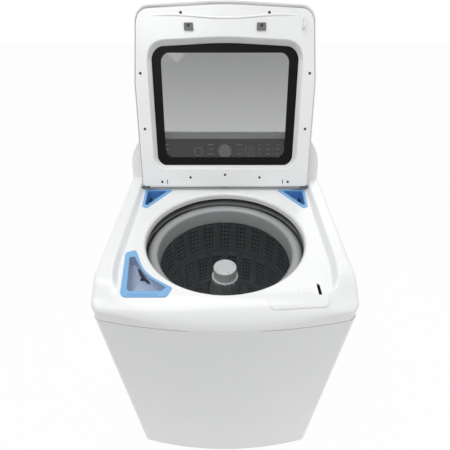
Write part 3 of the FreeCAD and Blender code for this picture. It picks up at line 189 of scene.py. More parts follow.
@dataclass(frozen=True)
class GradedGlass(Finish):
    """Grey float glass with painted shade, darker towards the lid's front edge; clear enough to see the panel
    through.
    """

    low_z: float = 1.00
    high_z: float = 1.33

    def material(self) -> bpy.types.Material:
        """Build the glass, with painted shade graded along its height.

        Returns:
            The material.
        """
        made = bpy.data.materials.new(self.name)
        made.use_nodes = True
        tree = made.node_tree
        shader = tree.nodes["Principled BSDF"]
        place = add_node(tree, "ShaderNodeTexCoord").outputs["Object"]
        height = add_node(tree, "ShaderNodeSeparateXYZ", {0: place}).outputs["Z"]
        share = add_node(tree, "ShaderNodeMapRange", {"Value": height, "From Min": self.low_z,
                                                      "From Max": self.high_z})
        tint_and_shade = add_node(tree, "ShaderNodeMix", {0: share.outputs[0], 6: linear(self.colour),
                                                7: linear(self.tone)}, data_type="RGBA")
        smear = add_node(tree, "ShaderNodeTexNoise", {"Vector": place, "Scale": 14.0, "Detail": 2.0})
        rough = add_node(tree, "ShaderNodeMapRange", {"Value": smear.outputs["Fac"], "To Min": self.rough[0],
                                                      "To Max": self.rough[1]})
        tree.links.new(tint_and_shade.outputs[2], shader.inputs["Base Color"])
        tree.links.new(rough.outputs[0], shader.inputs["Roughness"])
        shader.inputs["Transmission Weight"].default_value = self.transmission
        shader.inputs["IOR"].default_value = 1.5
        return made


# Baked enamel on steel sheet: glossy, with a faint orange peel about 2 mm across.
ENAMEL = Finish("baked_white_enamel", "EDEEEE", "E4E6E6", (0.16, 0.24), coat=0.5, grain_mm=2.2,
                relief_mm=0.02)
# Injection-moulded ABS, polished tool: white and glossy, with a barely seen flow cloud.
WHITE_ABS = Finish("moulded_white_abs", "F2F3F3", "EAEBEB", (0.18, 0.28), coat=0.3, grain_mm=1.6,
                   relief_mm=0.012)
# Hot-dip galvanised sheet: zinc crystals about 9 mm across, each with its own grey.
ZINC = Finish("galvanised_sheet", "A8ACAE", "8E9396", (0.3, 0.5), 1.0, grain=Grain.SPANGLE, grain_mm=9.0)
# Zinc-plated steel hardware: satin, with a fine even grain.
STEEL = Finish("plated_steel", "B4B6B8", "9A9DA0", (0.25, 0.4), 1.0, grain_mm=0.8)
# Oil-tempered spring steel: dark grey, with a dull shine.
SPRING = Finish("oiled_spring_steel", "5C5E61", "44464A", (0.3, 0.5), 1.0, grain_mm=0.8)
# Injection-moulded black polypropylene: satin, with the tool's eroded grain.
BLACK = Finish("moulded_black_polypropylene", "1B1B1C", "262628", (0.4, 0.55), grain_mm=0.8, relief_mm=0.03)
# Moulded rubber: matt and nearly black, with a soft grain.
RUBBER = Finish("moulded_rubber", "202022", "2C2C2E", (0.6, 0.8), grain_mm=1.0, relief_mm=0.04)
# Sky-blue polypropylene of the dispensers' rims: satin, with fine tool grain.
RIM_BLUE = Finish("sky_blue_polypropylene", "7FB4E2", "73A9DA", (0.28, 0.4), grain_mm=0.9, relief_mm=0.02)
# The trays' polypropylene: the rims' blue darkened with painted shade, and rougher than the rims, so it reads
# as lower down.
SHADED_TRAY_BLUE = Finish("blue_polypropylene_painted_shade", "5C90CC", "4A7CB8", (0.35, 0.5), grain_mm=0.9, relief_mm=0.02)
# Grey-blue polypropylene of the detergent cup: satin.
CUP_BLUE = Finish("grey_blue_polypropylene", "A9B6CE", "98A7C0", (0.3, 0.42), grain_mm=0.9, relief_mm=0.02)
# Painted shade for polypropylene deep in a well: matt, and nearly black.
WELL_SHADE = Finish("painted_well_shade", "14202E", "1C2A3C", (0.5, 0.7), grain_mm=1.0)
# Gloss black control panel: acrylic over black, mirror smooth.
PANEL = Finish("gloss_black_acrylic", "0A0A0B", "0F0F11", (0.1, 0.18), grain_mm=3.0, relief_mm=0.004,
               specular=0.3)
# Smoked polycarbonate lens with a hard coat: glossier than the panel round it.
LENS = Finish("smoked_display_lens", "16181A", "1E2124", (0.05, 0.1), coat=0.8, grain_mm=3.0, relief_mm=0.003)
# Screen-printed ink: flat pale grey, with a fine speckle.
PRINT = Finish("screen_printed_grey", "DFE1E2", "CDD0D2", (0.4, 0.55), grain_mm=0.5)
# Glass-fibre board under solder mask: green, with a slight shine.
BOARD = Finish("solder_masked_board", "1F5A34", "17472A", (0.3, 0.5), grain_mm=1.5)
# Uncoloured moulded polypropylene: milky and satin.
NATURAL = Finish("natural_polypropylene", "D6D8D6", "C8CBC9", (0.4, 0.55), grain_mm=1.2, relief_mm=0.02)
# Light grey polypropylene of the balance ring: smooth and satin.
RING_GREY = Finish("light_grey_polypropylene", "A9ABAC", "9C9E9F", (0.26, 0.38), grain_mm=1.2,
                   relief_mm=0.015)
# Mid-grey polypropylene of the tub's cover: satin.
ARM_GREY = Finish("mid_grey_polypropylene", "77797A", "6A6C6D", (0.3, 0.45), grain_mm=1.2, relief_mm=0.02)
# Die-cast aluminium: dull, with a coarse and slightly pitted skin.
CAST = Finish("die_cast_aluminium", "A2A5A8", "8C9093", (0.4, 0.6), 1.0, grain_mm=1.4, relief_mm=0.05)
# Dipped motor paint: black, with a thin gloss.
MOTOR = Finish("black_motor_paint", "2A2C2F", "36383C", (0.35, 0.5), coat=0.2, grain_mm=1.2)
# Rolled stainless sheet: fine lines run round it, drawn 1.5 mm apart so that they show.
DRUM = Finish("drawn_stainless", "D2D4D6", "B4B6B8", (0.3, 0.45), 1.0, grain=Grain.BRUSHED, grain_mm=1.5)
# Grey polypropylene of the agitator: satin, with a fine tool grain.
AGITATOR = Finish("agitator_grey_polypropylene", "8A8C8E", "7C7E80", (0.3, 0.42), grain_mm=1.2,
                  relief_mm=0.015)
# Pale ABS of the agitator's cap: smoother and lighter than the column.
CAP = Finish("pale_grey_abs", "D3D4D5", "C6C8C9", (0.26, 0.36), grain_mm=1.2, relief_mm=0.012)
# Moulded thermoplastic rubber: mid grey and matt.
BUMPER = Finish("grey_thermoplastic_rubber", "6E7072", "5E6062", (0.55, 0.7), grain_mm=0.8)
# Turned and blasted aluminium: satin, with a very fine grain.
KNOB = Finish("satin_turned_aluminium", "9EA0A2", "84868A", (0.22, 0.34), 1.0, grain_mm=0.6, relief_mm=0.01)
# Ceramic frit fired on the glass: flat deep black.
FRIT = Finish("fired_black_frit", "070707", "0B0B0C", (0.3, 0.42), grain_mm=2.0, relief_mm=0.004,
              specular=0.12)
# Grey float glass: mirror smooth, with a slight smear in its gloss, and painted shade darker towards the
# lid's front edge.
GLASS = GradedGlass("grey_glass_painted_shade", "BDBEBE", "838584", (0.02, 0.05), transmission=1.0)


# --- making pieces ------------------------------------------------------------------------------
def add_piece(shape: bmesh.types.BMesh, name: str, body: str, finish: Finish,
              stands_for: tuple[str, ...] = (), crease: float = 32.0) -> bpy.types.Object:
    """Turn a finished bmesh into a piece that rides on its body.

    Args:
        shape: the mesh, in metres and in place; it is freed.
        name: the piece's name.
        body: the body it moves with.
        finish: its surface.
        stands_for: CAD nodes that it replaces.
        crease: edges turning more than this many degrees stay sharp.

    Returns:
        The new object.
    """
    mesh = bpy.data.meshes.new(name)
    shape.to_mesh(mesh)
    shape.free()
    mesh.shade_smooth()
    mesh.set_sharp_from_angle(angle=math.radians(crease))
    mesh.materials.clear()
    mesh.materials.append(finish.material())
    piece = bpy.data.objects.new(name, mesh)
    bpy.context.scene.collection.objects.link(piece)
    weighted = piece.modifiers.new("face_weights", "WEIGHTED_NORMAL")
    weighted.keep_sharp = True
    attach(piece, body)
    if stands_for:
        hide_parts(*stands_for)
    LOG.info("%s on %s: %d faces", name, body, len(mesh.polygons))
    return piece


def turned(profile: list[tuple[float, float]], centre: tuple[float, float],
           steps: int = 128) -> bmesh.types.BMesh:
    """Spin a closed profile of (radius, z), in millimetres, about an upright axis.

    Args:
        profile: the section's corners in order.
        centre: the axis's x and y, in metres.
        steps: how many facets go round.

    Returns:
        The turned shell, facing outwards.
    """
    shape = bmesh.new()
    corners = [shape.verts.new((centre[0] + r * MM, centre[1], z * MM)) for r, z in profile]
    edges = [shape.edges.new((a, b)) for a, b in zip(corners, corners[1:] + corners[:1])]
    bmesh.ops.spin(shape, geom=corners + edges, cent=(centre[0], centre[1], 0.0), axis=(0.0, 0.0, 1.0),
                   angle=math.tau, steps=steps, use_merge=True)
    bmesh.ops.remove_doubles(shape, verts=shape.verts, dist=0.02 * MM)
    bmesh.ops.recalc_face_normals(shape, faces=shape.faces)
    return shape


def bar(shape: bmesh.types.BMesh, low: tuple[float, float, float], high: tuple[float, float, float],
        turn: Matrix) -> None:
    """Add a small block.

    Args:
        shape: the mesh that takes it.
        low: its lowest corner, in metres.
        high: its highest corner, in metres.
        turn: what carries it into place.
    """
    middle = [(a + b) / 2 for a, b in zip(low, high)]
    size = [b - a for a, b in zip(low, high)]
    matrix = turn @ Matrix.Translation(middle) @ Matrix.Diagonal((*size, 1.0))
    bmesh.ops.create_cube(shape, size=1.0, matrix=matrix)


def leaning(origin: Vector) -> Matrix:
    """Give the frame whose X runs across, Y up the leaning face and Z out of it.

    Args:
        origin: the frame's origin, in metres.

    Returns:
        The frame as a matrix.
    """
    columns = [Vector((1.0, 0.0, 0.0)), ALONG, OUT]
    turn = Matrix([[c[row] for c in columns] for row in range(3)]).to_4x4()
    return Matrix.Translation(origin) @ turn


def soft_step(share: float) -> float:
    """Ease from 0 to 1 as share goes from 0 to 1."""
    held = min(1.0, max(0.0, share))
    return held * held * (3.0 - 2.0 * held)


def encloses(outline: tuple[tuple[float, float], ...], x: float, y: float) -> bool:
    """Whether a point lies inside a plan outline.

    Args:
        outline: the corners in order.
        x: the point's x.
        y: the point's y.

    Returns:
        True inside.
    """
    odd = False
    for (ax, ay), (bx, by) in zip(outline, outline[1:] + outline[:1]):
        if (ay > y) != (by > y) and x < (bx - ax) * (y - ay) / (by - ay) + ax:
            odd = not odd
    return odd


@dataclass
class Dressing:
    """One CAD node, its body's name and the surface it gets."""

    node: str
    finish: Finish
    crease: float = 28.0
    stays: bool = False

    def build(self, frame: dict) -> None:
        """Show a merged copy of the node, so that its curves shade smoothly, or the node itself.

        A node that its joint stretches stays, because a copy would keep its length.

        Args:
            frame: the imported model.
        """
        source = frame["nodes"][self.node]
        if self.stays:
            for place in source.material_slots:
                place.material = self.finish.material()
            LOG.info("%s stays, with %d material slots", self.node, len(source.material_slots))
            return
        shape = bmesh.new()
        shape.from_mesh(source.data)
        bmesh.ops.remove_doubles(shape, verts=shape.verts, dist=0.002 * MM)
        add_piece(shape, self.node + "_skin", source["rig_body"], self.finish,
                  (self.node,), self.crease)


@dataclass
class Assembly:
    """A sub-assembly that starts from its CAD nodes, each with its own finish."""

    dressings: list[Dressing] = field(default_factory=list)

    def build(self, frame: dict) -> None:
        """Dress the nodes, then add what the nodes lack."""
        for dressing in self.dressings:
            dressing.build(frame)
        self.detail()

    def detail(self) -> None:
        """Add the pieces of detail; a plain assembly has none."""


@dataclass
class Cabinet(Assembly):
    """The enamelled wrap-round sheet on its base, with the plain zinc back."""

    dressings: list[Dressing] = field(default_factory=lambda: [
        Dressing("cabinet_wrap", ENAMEL, 35), Dressing("rear_panel", ZINC), Dressing("drain_outlet", BLACK),
        Dressing("base_frame", ZINC), Dressing("levelling_feet", RUBBER), Dressing("corner_braces", ZINC),
        Dressing("suspension_rods", STEEL), Dressing("suspension_springs", SPRING, stays=True),
        Dressing("water_inlet_valve", NATURAL), Dressing("cord_gland", BLACK)])
    back_y: float = 289.2
    louvre_span: tuple[float, float] = (-110.0, 110.0)
    louvre_z: tuple[float, float] = (170.0, 370.0)
    louvres: int = 9
    louvre_rise: float = 5.0
    screw_radius: float = 4.5
    screw_columns: tuple[float, ...] = (-325.0, -165.0, 165.0, 325.0)
    screw_rows: tuple[float, ...] = (45.0, 300.0, 560.0, 815.0)
    screw_face: float = 288.6
    cover_screws: tuple[tuple[float, float], ...] = ((-310.0, 945.0), (-110.0, 1024.0), (110.0, 1024.0),
                                                     (310.0, 945.0))
    cover_face: float = 291.2

    def detail(self) -> None:
        """Press the louvres into the back and set its screws."""
        slots = bmesh.new()
        low_z, high_z = self.louvre_z
        for index in range(self.louvres):
            z = low_z + (high_z - low_z) * index / (self.louvres - 1)
            bar(slots, (self.louvre_span[0] * MM, (self.back_y - 0.4) * MM, z * MM),
                (self.louvre_span[1] * MM, (self.back_y + 1.6) * MM, (z + self.louvre_rise) * MM), Matrix())
        bmesh.ops.bevel(slots, geom=slots.edges[:], offset=0.0007, offset_type="OFFSET", segments=2,
                        profile=0.5,
                        affect="EDGES", material=-1)
        add_piece(slots, "back_louvres", "cabinet", ZINC)
        screws = bmesh.new()
        for x in self.screw_columns:
            for z in self.screw_rows:
                self._screw(screws, x, self.screw_face, z)
        for x, z in self.cover_screws:
            self._screw(screws, x, self.cover_face, z)
        add_piece(screws, "back_screws", "cabinet", STEEL)

    def _screw(self, shape: bmesh.types.BMesh, x: float, y: float, z: float) -> None:
        """Add one hex washer-head screw on the back.

        Args:
            shape: the mesh that takes it.
            x: its place across, in millimetres.
            y: its place in depth.
            z: its height.
        """
        turn = Matrix.Translation((x * MM, y * MM, z * MM)) @ Matrix.Rotation(-math.pi / 2, 4, "X")
        bmesh.ops.create_cone(shape, cap_ends=True, segments=20, radius1=self.screw_radius * 1.5 * MM,
                              radius2=self.screw_radius * 1.4 * MM, depth=0.0010, matrix=turn)
        lift = turn @ Matrix.Translation((0, 0, 0.0018))
        bmesh.ops.create_cone(shape, cap_ends=True, segments=6, radius1=self.screw_radius * MM,
                              radius2=self.screw_radius * 0.92 * MM, depth=0.0026, matrix=lift)


@dataclass
class Deck(Assembly):
    """The moulded white top: its recess, lock cover and the marks beside the strike's slot."""

    dressings: list[Dressing] = field(default_factory=lambda: [
        Dressing("lid_lock_cover", WHITE_ABS, 40), Dressing("lid_lock_module", BLACK),
        Dressing("hinge_bracket_left", STEEL), Dressing("hinge_bracket_right", STEEL)])
    half_width: float = 343.0
    front: float = -408.0
    rear: float = 288.0
    bow: float = 1421.0
    corner: float = 25.0
    edge: float = 13.0
    rim: float = 930.0
    plateau: float = 913.0
    foot: float = 850.0
    steps: int = 260
    crowding: float = 1.38
    roll_start: float = -329.0
    roll_radius: float = 82.0
    roll_most: float = 78.0
    rim_drop: float = 37.0
    drop_reach: float = 95.0
    wall_start: float = -204.0
    wall_most: float = 300.0
    wall_half: float = 299.0
    wall_radius: float = 430.0
    slope: float = 17.0
    front_slope: float = 105.0
    slope_reach: float = 70.0
    shelf_start: float = 199.0
    shelf_slope: float = 14.0
    snap: float = 6.0
    mouth: tuple[float, float, float] = (0.0, -99.0, 238.0)
    lip: float = 7.0
    wells: tuple[tuple[tuple[float, float], ...], ...] = (
        ((-273, -195), (-255, -334), (-157, -335), (-147, -317), (-217, -258), (-252, -194)),
        ((-280, 161), (-275, 172), (-194, 161), (-262, 62), (-276, 62)),
        ((280, 161), (275, 172), (194, 161), (262, 62), (276, 62)),
        ((236, -340), (244, -340), (244, -304), (236, -304)))
    mark_z: float = 915.0

    def detail(self) -> None:
        """Mould the skin, then draw the closed-lid mark beside the slot."""
        self._skin()
        self._marks()

    def front_at(self, x: float) -> float:
        """The bowed front's y at an x, in millimetres."""
        return self.front + self.bow - math.sqrt(self.bow ** 2 - x ** 2)

    def inside(self, x: float, y: float) -> float:
        """How far a point lies inside the rounded plan.

        Args:
            x: the point's x, in millimetres.
            y: the point's y.

        Returns:
            The distance to the outline, below nought outside it.
        """
        across, along = self.half_width - abs(x), min(y - self.front_at(x), self.rear - y)
        if across < self.corner and along < self.corner:
            return self.corner - math.hypot(self.corner - across, self.corner - along)
        return min(across, along)

    def height(self, x: float, y: float) -> float:
        """The moulding's height: a shallow recess inside a rim, and both fall away at the front.

        Args:
            x: the point's x, in millimetres.
            y: the point's y.

        Returns:
            The height there, before the edges are rounded.
        """
        back = y - self.front_at(x)
        fall = min(max(0.0, self.roll_start - y), self.roll_most)
        floor = self.plateau - self.roll_radius + math.sqrt(self.roll_radius ** 2 - fall ** 2)
        rim = self.rim - self.rim_drop * (1.0 - soft_step(back / self.drop_reach))
        turn = min(max(0.0, self.wall_start - y), self.wall_most)
        wall = self.wall_half - (self.wall_radius - math.sqrt(self.wall_radius ** 2 - turn ** 2))
        spread = self.slope + self.front_slope * (1.0 - soft_step(back / self.slope_reach))
        share = soft_step((abs(x) - wall + 0.5 * spread + 4.0) / spread)
        share = max(share, soft_step((y - self.shelf_start) / self.shelf_slope))
        return floor + (rim - floor) * share

    def _skin(self) -> None:
        """Press a fine grid into the moulding, open its mouth and wells, and turn its edges down."""
        skin = bmesh.new()
        bmesh.ops.create_grid(skin, x_segments=self.steps, y_segments=self.steps, size=1.0)
        for vert in skin.verts:
            u, v = (math.sin(self.crowding * part) / math.sin(self.crowding) for part in vert.co.xy)
            x = u * self.half_width
            y = self.front_at(x) + (v + 1.0) / 2.0 * (self.rear - self.front_at(x))
            depth = self.inside(x, y)
            if depth < 0.0:
                pivot_x = math.copysign(self.half_width - self.corner, x)
                pivot_y = self.front_at(x) + self.corner if y < 0 else self.rear - self.corner
                pull = self.corner / (self.corner - depth)
                x, y, depth = pivot_x + (x - pivot_x) * pull, pivot_y + (y - pivot_y) * pull, 0.0
            z = self.height(x, y)
            if depth < self.edge:
                z -= self.edge - math.sqrt(max(0.0, self.edge ** 2 - (self.edge - depth) ** 2))
            reach = math.hypot(x - self.mouth[0], y - self.mouth[1]) - self.mouth[2]
            if -self.snap < reach < 0.0:
                pull = self.mouth[2] / (self.mouth[2] + reach)
                x, y = self.mouth[0] + (x - self.mouth[0]) * pull, self.mouth[1] + (y - self.mouth[1]) * pull
                reach = 0.0
            if 0.0 <= reach < self.lip:
                z -= self.lip - math.sqrt(self.lip ** 2 - (self.lip - reach) ** 2)
            vert.co = (x * MM, y * MM, z * MM)
        gone = [face for face in skin.faces if self._open(face.calc_center_median() / MM)]
        bmesh.ops.delete(skin, geom=gone, context="FACES")
        bmesh.ops.remove_doubles(skin, verts=skin.verts, dist=0.05 * MM)
        outer, inner = [], []
        for rim_edge in (e for e in skin.edges if e.is_boundary):
            place = (rim_edge.verts[0].co + rim_edge.verts[1].co) / (2 * MM)
            if self.inside(place.x, place.y) < 2.0:
                outer.append(rim_edge)
            elif math.hypot(place.x - self.mouth[0], place.y - self.mouth[1]) < self.mouth[2] + 4.0:
                inner.append(rim_edge)
        for edges, low in ((outer, self.foot), (inner, self.plateau - 20.0)):
            made = bmesh.ops.extrude_edge_only(skin, edges=edges)["geom"]
            for vert in (item for item in made if isinstance(item, bmesh.types.BMVert)):
                vert.co.z = low * MM
        bmesh.ops.recalc_face_normals(skin, faces=skin.faces)
        if sum(face.normal.z for face in skin.faces) < 0.0:
            bmesh.ops.reverse_faces(skin, faces=skin.faces)
        add_piece(skin, "deck_skin", "cabinet", WHITE_ABS, ("top_deck",), 60.0)

    def _open(self, place: Vector) -> bool:
        """Whether a place, in millimetres, lies in the mouth or in one of the wells."""
        if math.hypot(place.x - self.mouth[0], place.y - self.mouth[1]) < self.mouth[2] - 0.6:
            return True
        return any(encloses(well, place.x, place.y) for well in self.wells)

    def _marks(self) -> None:
        """Draw the closed-lid mark: a few plain lines with an arrow head."""
        marks = bmesh.new()
        for row in range(4):
            y = -319.5 - 5.5 * row
            bar(marks, (0.197, y * MM, self.mark_z * MM),
                (0.221, (y + 0.9) * MM, (self.mark_z + 0.1) * MM), Matrix())
        turn = Matrix.Rotation(math.pi / 2, 4, "Z")
        arrow = Matrix.Translation((0.187, -0.3255, (self.mark_z + 0.05) * MM)) @ turn
        bmesh.ops.create_cone(marks, cap_ends=True, segments=3, radius1=0.0045, radius2=0.0045, depth=0.0001,
                              matrix=arrow)
        add_piece(marks, "lock_marks", "cabinet", PRINT)


@dataclass
class Dispensers(Assembly):
    """The blue-rimmed detergent cup and the two corner trays."""

    dressings: list[Dressing] = field(default_factory=lambda: [
        Dressing("detergent_rim", RIM_BLUE), Dressing("detergent_cup", CUP_BLUE), Dressing("bleach_rim",
                                                                                           RIM_BLUE),
        Dressing("bleach_cup", SHADED_TRAY_BLUE), Dressing("softener_rim", RIM_BLUE),
        Dressing("softener_cup", SHADED_TRAY_BLUE)])
    cup_floor: float = 896.0
    outlet_middle: tuple[float, float] = (-0.160, -0.205)
    outlet_radius: float = 0.080
    outlet_band: tuple[float, float] = (0.93, 1.07)
    outlet_sweep: float = 42.0
    outlet_turn: float = 17.0
    outlet_wall: float = 0.007

    def detail(self) -> None:
        """Add painted shade: a dark band in the cup's curved outlet, dark blocks in the trays' wells and a
        deeper blue line along the moulded front rim.
        """
        outlet = bmesh.new()
        centre = Vector((*self.outlet_middle, self.cup_floor * MM))
        start = Vector((-self.outlet_radius, 0.0, 0.0))
        strip = [outlet.verts.new(centre + start * share) for share in self.outlet_band]
        edge = outlet.edges.new(strip)
        bmesh.ops.spin(outlet, geom=strip + [edge], cent=centre, axis=(0, 0, 1),
                       angle=math.radians(self.outlet_sweep), steps=18, use_merge=False)
        bmesh.ops.rotate(outlet, verts=outlet.verts, cent=centre,
                         matrix=Matrix.Rotation(math.radians(self.outlet_turn), 3, "Z"))
        bmesh.ops.solidify(outlet, geom=outlet.faces[:], thickness=self.outlet_wall)
        bmesh.ops.recalc_face_normals(outlet, faces=outlet.faces)
        add_piece(outlet, "detergent_outlet_shade", "cabinet", WELL_SHADE)
        line = bmesh.new()
        bar(line, (-0.246, -0.3418, 0.9144), (-0.170, -0.3402, 0.9148), Matrix())
        add_piece(line, "detergent_rim_shade_line", "cabinet", SHADED_TRAY_BLUE)
        for side, name in ((-1, "bleach_well_shade"), (1, "softener_well_shade")):
            well = bmesh.new()
            bar(well, (side * 0.266 - 0.006, 0.128, 0.8860), (side * 0.266 + 0.006, 0.150, 0.8885), Matrix())
            bmesh.ops.bevel(well, geom=well.edges[:], offset=0.001, offset_type="OFFSET", segments=2,
                            profile=0.5,
                            affect="EDGES", material=-1)
            add_piece(well, name, "cabinet", WELL_SHADE)


@dataclass
class Drum(Assembly):
    """The stainless basket with embossed, pierced pads, its balance ring and the tub's cover."""

    dressings: list[Dressing] = field(default_factory=lambda: [
        Dressing("balance_ring", RING_GREY, 40), Dressing("tub_cover_ring", ARM_GREY),
        Dressing("outer_tub", NATURAL), Dressing("basket_base", AGITATOR), Dressing("spin_tube", STEEL),
        Dressing("hub_nut", STEEL), Dressing("upper_bearing", STEEL), Dressing("lower_bearing", STEEL),
        Dressing("tub_seal", RUBBER), Dressing("tub_support", ZINC), Dressing("transmission_case", CAST),
        Dressing("drive_motor", MOTOR), Dressing("drive_belt", RUBBER), Dressing("drain_pump", BLACK),
        Dressing("motor_pulley", STEEL)])
    centre: tuple[float, float] = (0.0, -0.099)
    radius: float = 243.0
    span: tuple[float, float] = (270.0, 851.0)
    pads: int = 24
    columns: int = 10
    rows: int = 70
    pad_rows: tuple[tuple[float, float, float], ...] = ((395.0, 72.0, 0.5), (562.0, 76.0, 0.0),
                                                        (730.0, 70.0, 0.5))
    emboss: float = 6.0
    rib: float = 2.2

    def relief(self, turn: float, z: float) -> float:
        """How far the wall stands inwards.

        Args:
            turn: the place round the wall, as a share of a turn.
            z: the height, in millimetres.

        Returns:
            The depth of the embossing there, in millimetres.
        """
        depth = 0.0
        for middle, half, stagger in self.pad_rows:
            across = abs((turn * self.pads + stagger) % 1.0 - 0.5) / 0.40
            up = abs(z - middle) / half
            if up < 1.25:
                edge = min(1.0, max(0.0, (1.0 - across) * 3.2)) * min(1.0, max(0.0, (1.0 - up) * 9.0))
                depth += self.emboss * edge * edge * (3 - 2 * edge)
                if across > 1.12:
                    depth += self.rib * min(1.0, max(0.0, (1.1 - up) * 6.0))
        return depth

    def detail(self) -> None:
        """Form the wall, paint shade where its pads are pierced and fit the scalloped arms."""
        self._wall()
        self._hole_shades()
        self._arms()

    def _wall(self) -> None:
        """Roll the wall from a flat grid and press its pads inwards."""
        wall = bmesh.new()
        around = self.pads * self.columns
        bmesh.ops.create_grid(wall, x_segments=around, y_segments=self.rows, size=0.5)
        low, high = self.span
        for vert in wall.verts:
            turn = vert.co.x + 0.5
            z = low + (vert.co.y + 0.5) * (high - low)
            radius = (self.radius - self.relief(turn, z)) * MM
            angle = math.tau * turn
            vert.co = (self.centre[0] + radius * math.cos(angle), self.centre[1] + radius * math.sin(angle),
                       z * MM)
        bmesh.ops.remove_doubles(wall, verts=wall.verts, dist=0.05 * MM)
        bmesh.ops.recalc_face_normals(wall, faces=wall.faces)
        bmesh.ops.solidify(wall, geom=wall.faces[:], thickness=0.0008)
        bmesh.ops.recalc_face_normals(wall, faces=wall.faces)
        add_piece(wall, "basket_wall", "basket", DRUM, ("wash_basket",), 50.0)

    def _hole_shades(self) -> None:
        """Mark the pads' piercings with painted shade: each hole is a small dark eye just proud of the steel.
        """
        hole_shades = bmesh.new()
        for middle, _, stagger in self.pad_rows:
            for pad in range(self.pads):
                for column in (-1, 0, 1):
                    for row in range(-3, 4):
                        turn = (pad + 0.5 - stagger + column * 0.20) / self.pads
                        z = middle + row * 19.0
                        radius = (self.radius - self.emboss - 1.1) * MM
                        angle = math.tau * turn
                        place = Vector((self.centre[0] + radius * math.cos(angle),
                                        self.centre[1] + radius * math.sin(angle), z * MM))
                        turn_in = Matrix.Rotation(angle, 4, "Z") @ Matrix.Rotation(math.pi / 2, 4, "Y")
                        bmesh.ops.create_cone(hole_shades, cap_ends=True, segments=8, radius1=0.0033,
                                              radius2=0.0033,
                                              depth=0.0008, matrix=Matrix.Translation(place) @ turn_in)
        add_piece(hole_shades, "basket_piercing_shade", "basket", BLACK)

    def _arms(self) -> None:
        """Fit the cover's flat arms, wide at the rear corners and narrow between them."""
        arms = bmesh.new()
        for radius in (238.0, 262.0):
            bmesh.ops.create_circle(arms, segments=144, radius=radius * MM,
                                    matrix=Matrix.Translation((*self.centre, 0.874)))
        bmesh.ops.bridge_loops(arms, edges=arms.edges[:])
        for vert in arms.verts:
            x, y = vert.co.x - self.centre[0], vert.co.y - self.centre[1]
            if math.hypot(x, y) < 0.250:
                off_rear = abs(math.degrees(math.atan2(x, y)))
                narrow = 12.0 * (min(1.0, max(0.0, (34.0 - off_rear) / 8.0))
                                 + min(1.0, max(0.0, (off_rear - 72.0) / 8.0)))
                scale = (238.0 + narrow) / 238.0
                vert.co.x, vert.co.y = self.centre[0] + x * scale, self.centre[1] + y * scale
        bmesh.ops.recalc_face_normals(arms, faces=arms.faces)
        bmesh.ops.solidify(arms, geom=arms.faces[:], thickness=0.003)
        bmesh.ops.recalc_face_normals(arms, faces=arms.faces)
        piece = add_piece(arms, "tub_cover_arms", "tub", ARM_GREY)
        edge = piece.modifiers.new("rounded", "BEVEL")
        edge.width, edge.segments, edge.limit_method = 0.001, 2, "ANGLE"


@dataclass
class Agitator(Assembly):
    """The grey agitator: its vaned skirt, finned column and pale cap."""

    dressings: list[Dressing] = field(default_factory=lambda: [
        Dressing("agitator_base", AGITATOR, 40), Dressing("agitator_column", AGITATOR, 40),
        Dressing("agitator_cap", CAP, 40), Dressing("drive_shaft", STEEL), Dressing("drive_pulley", CAST)])
    centre: tuple[float, float] = (0.0, -0.099)
    top: float = 782.0
    dot_ring: float = 30.0

    def detail(self) -> None:
        """Paint shade in the cap's four sunk catches as dark dots, and set the bright ring below it."""
        catch_shades = bmesh.new()
        for index in range(4):
            angle = math.tau * (index / 4 + 0.06)
            place = (self.dot_ring * MM * math.cos(angle),
                     self.centre[1] + self.dot_ring * MM * math.sin(angle),
                     self.top * MM)
            bmesh.ops.create_cone(catch_shades, cap_ends=True, segments=16, radius1=0.0016, radius2=0.0014,
                                  depth=0.0004,
                                  matrix=Matrix.Translation(place))
        add_piece(catch_shades, "cap_catch_shade", "agitator", BLACK)
        ring = turned([(39.5, 739), (43.5, 739), (44.5, 741), (43.5, 743.5), (39.5, 743.5)], self.centre)
        add_piece(ring, "cap_ring", "agitator", CAP)


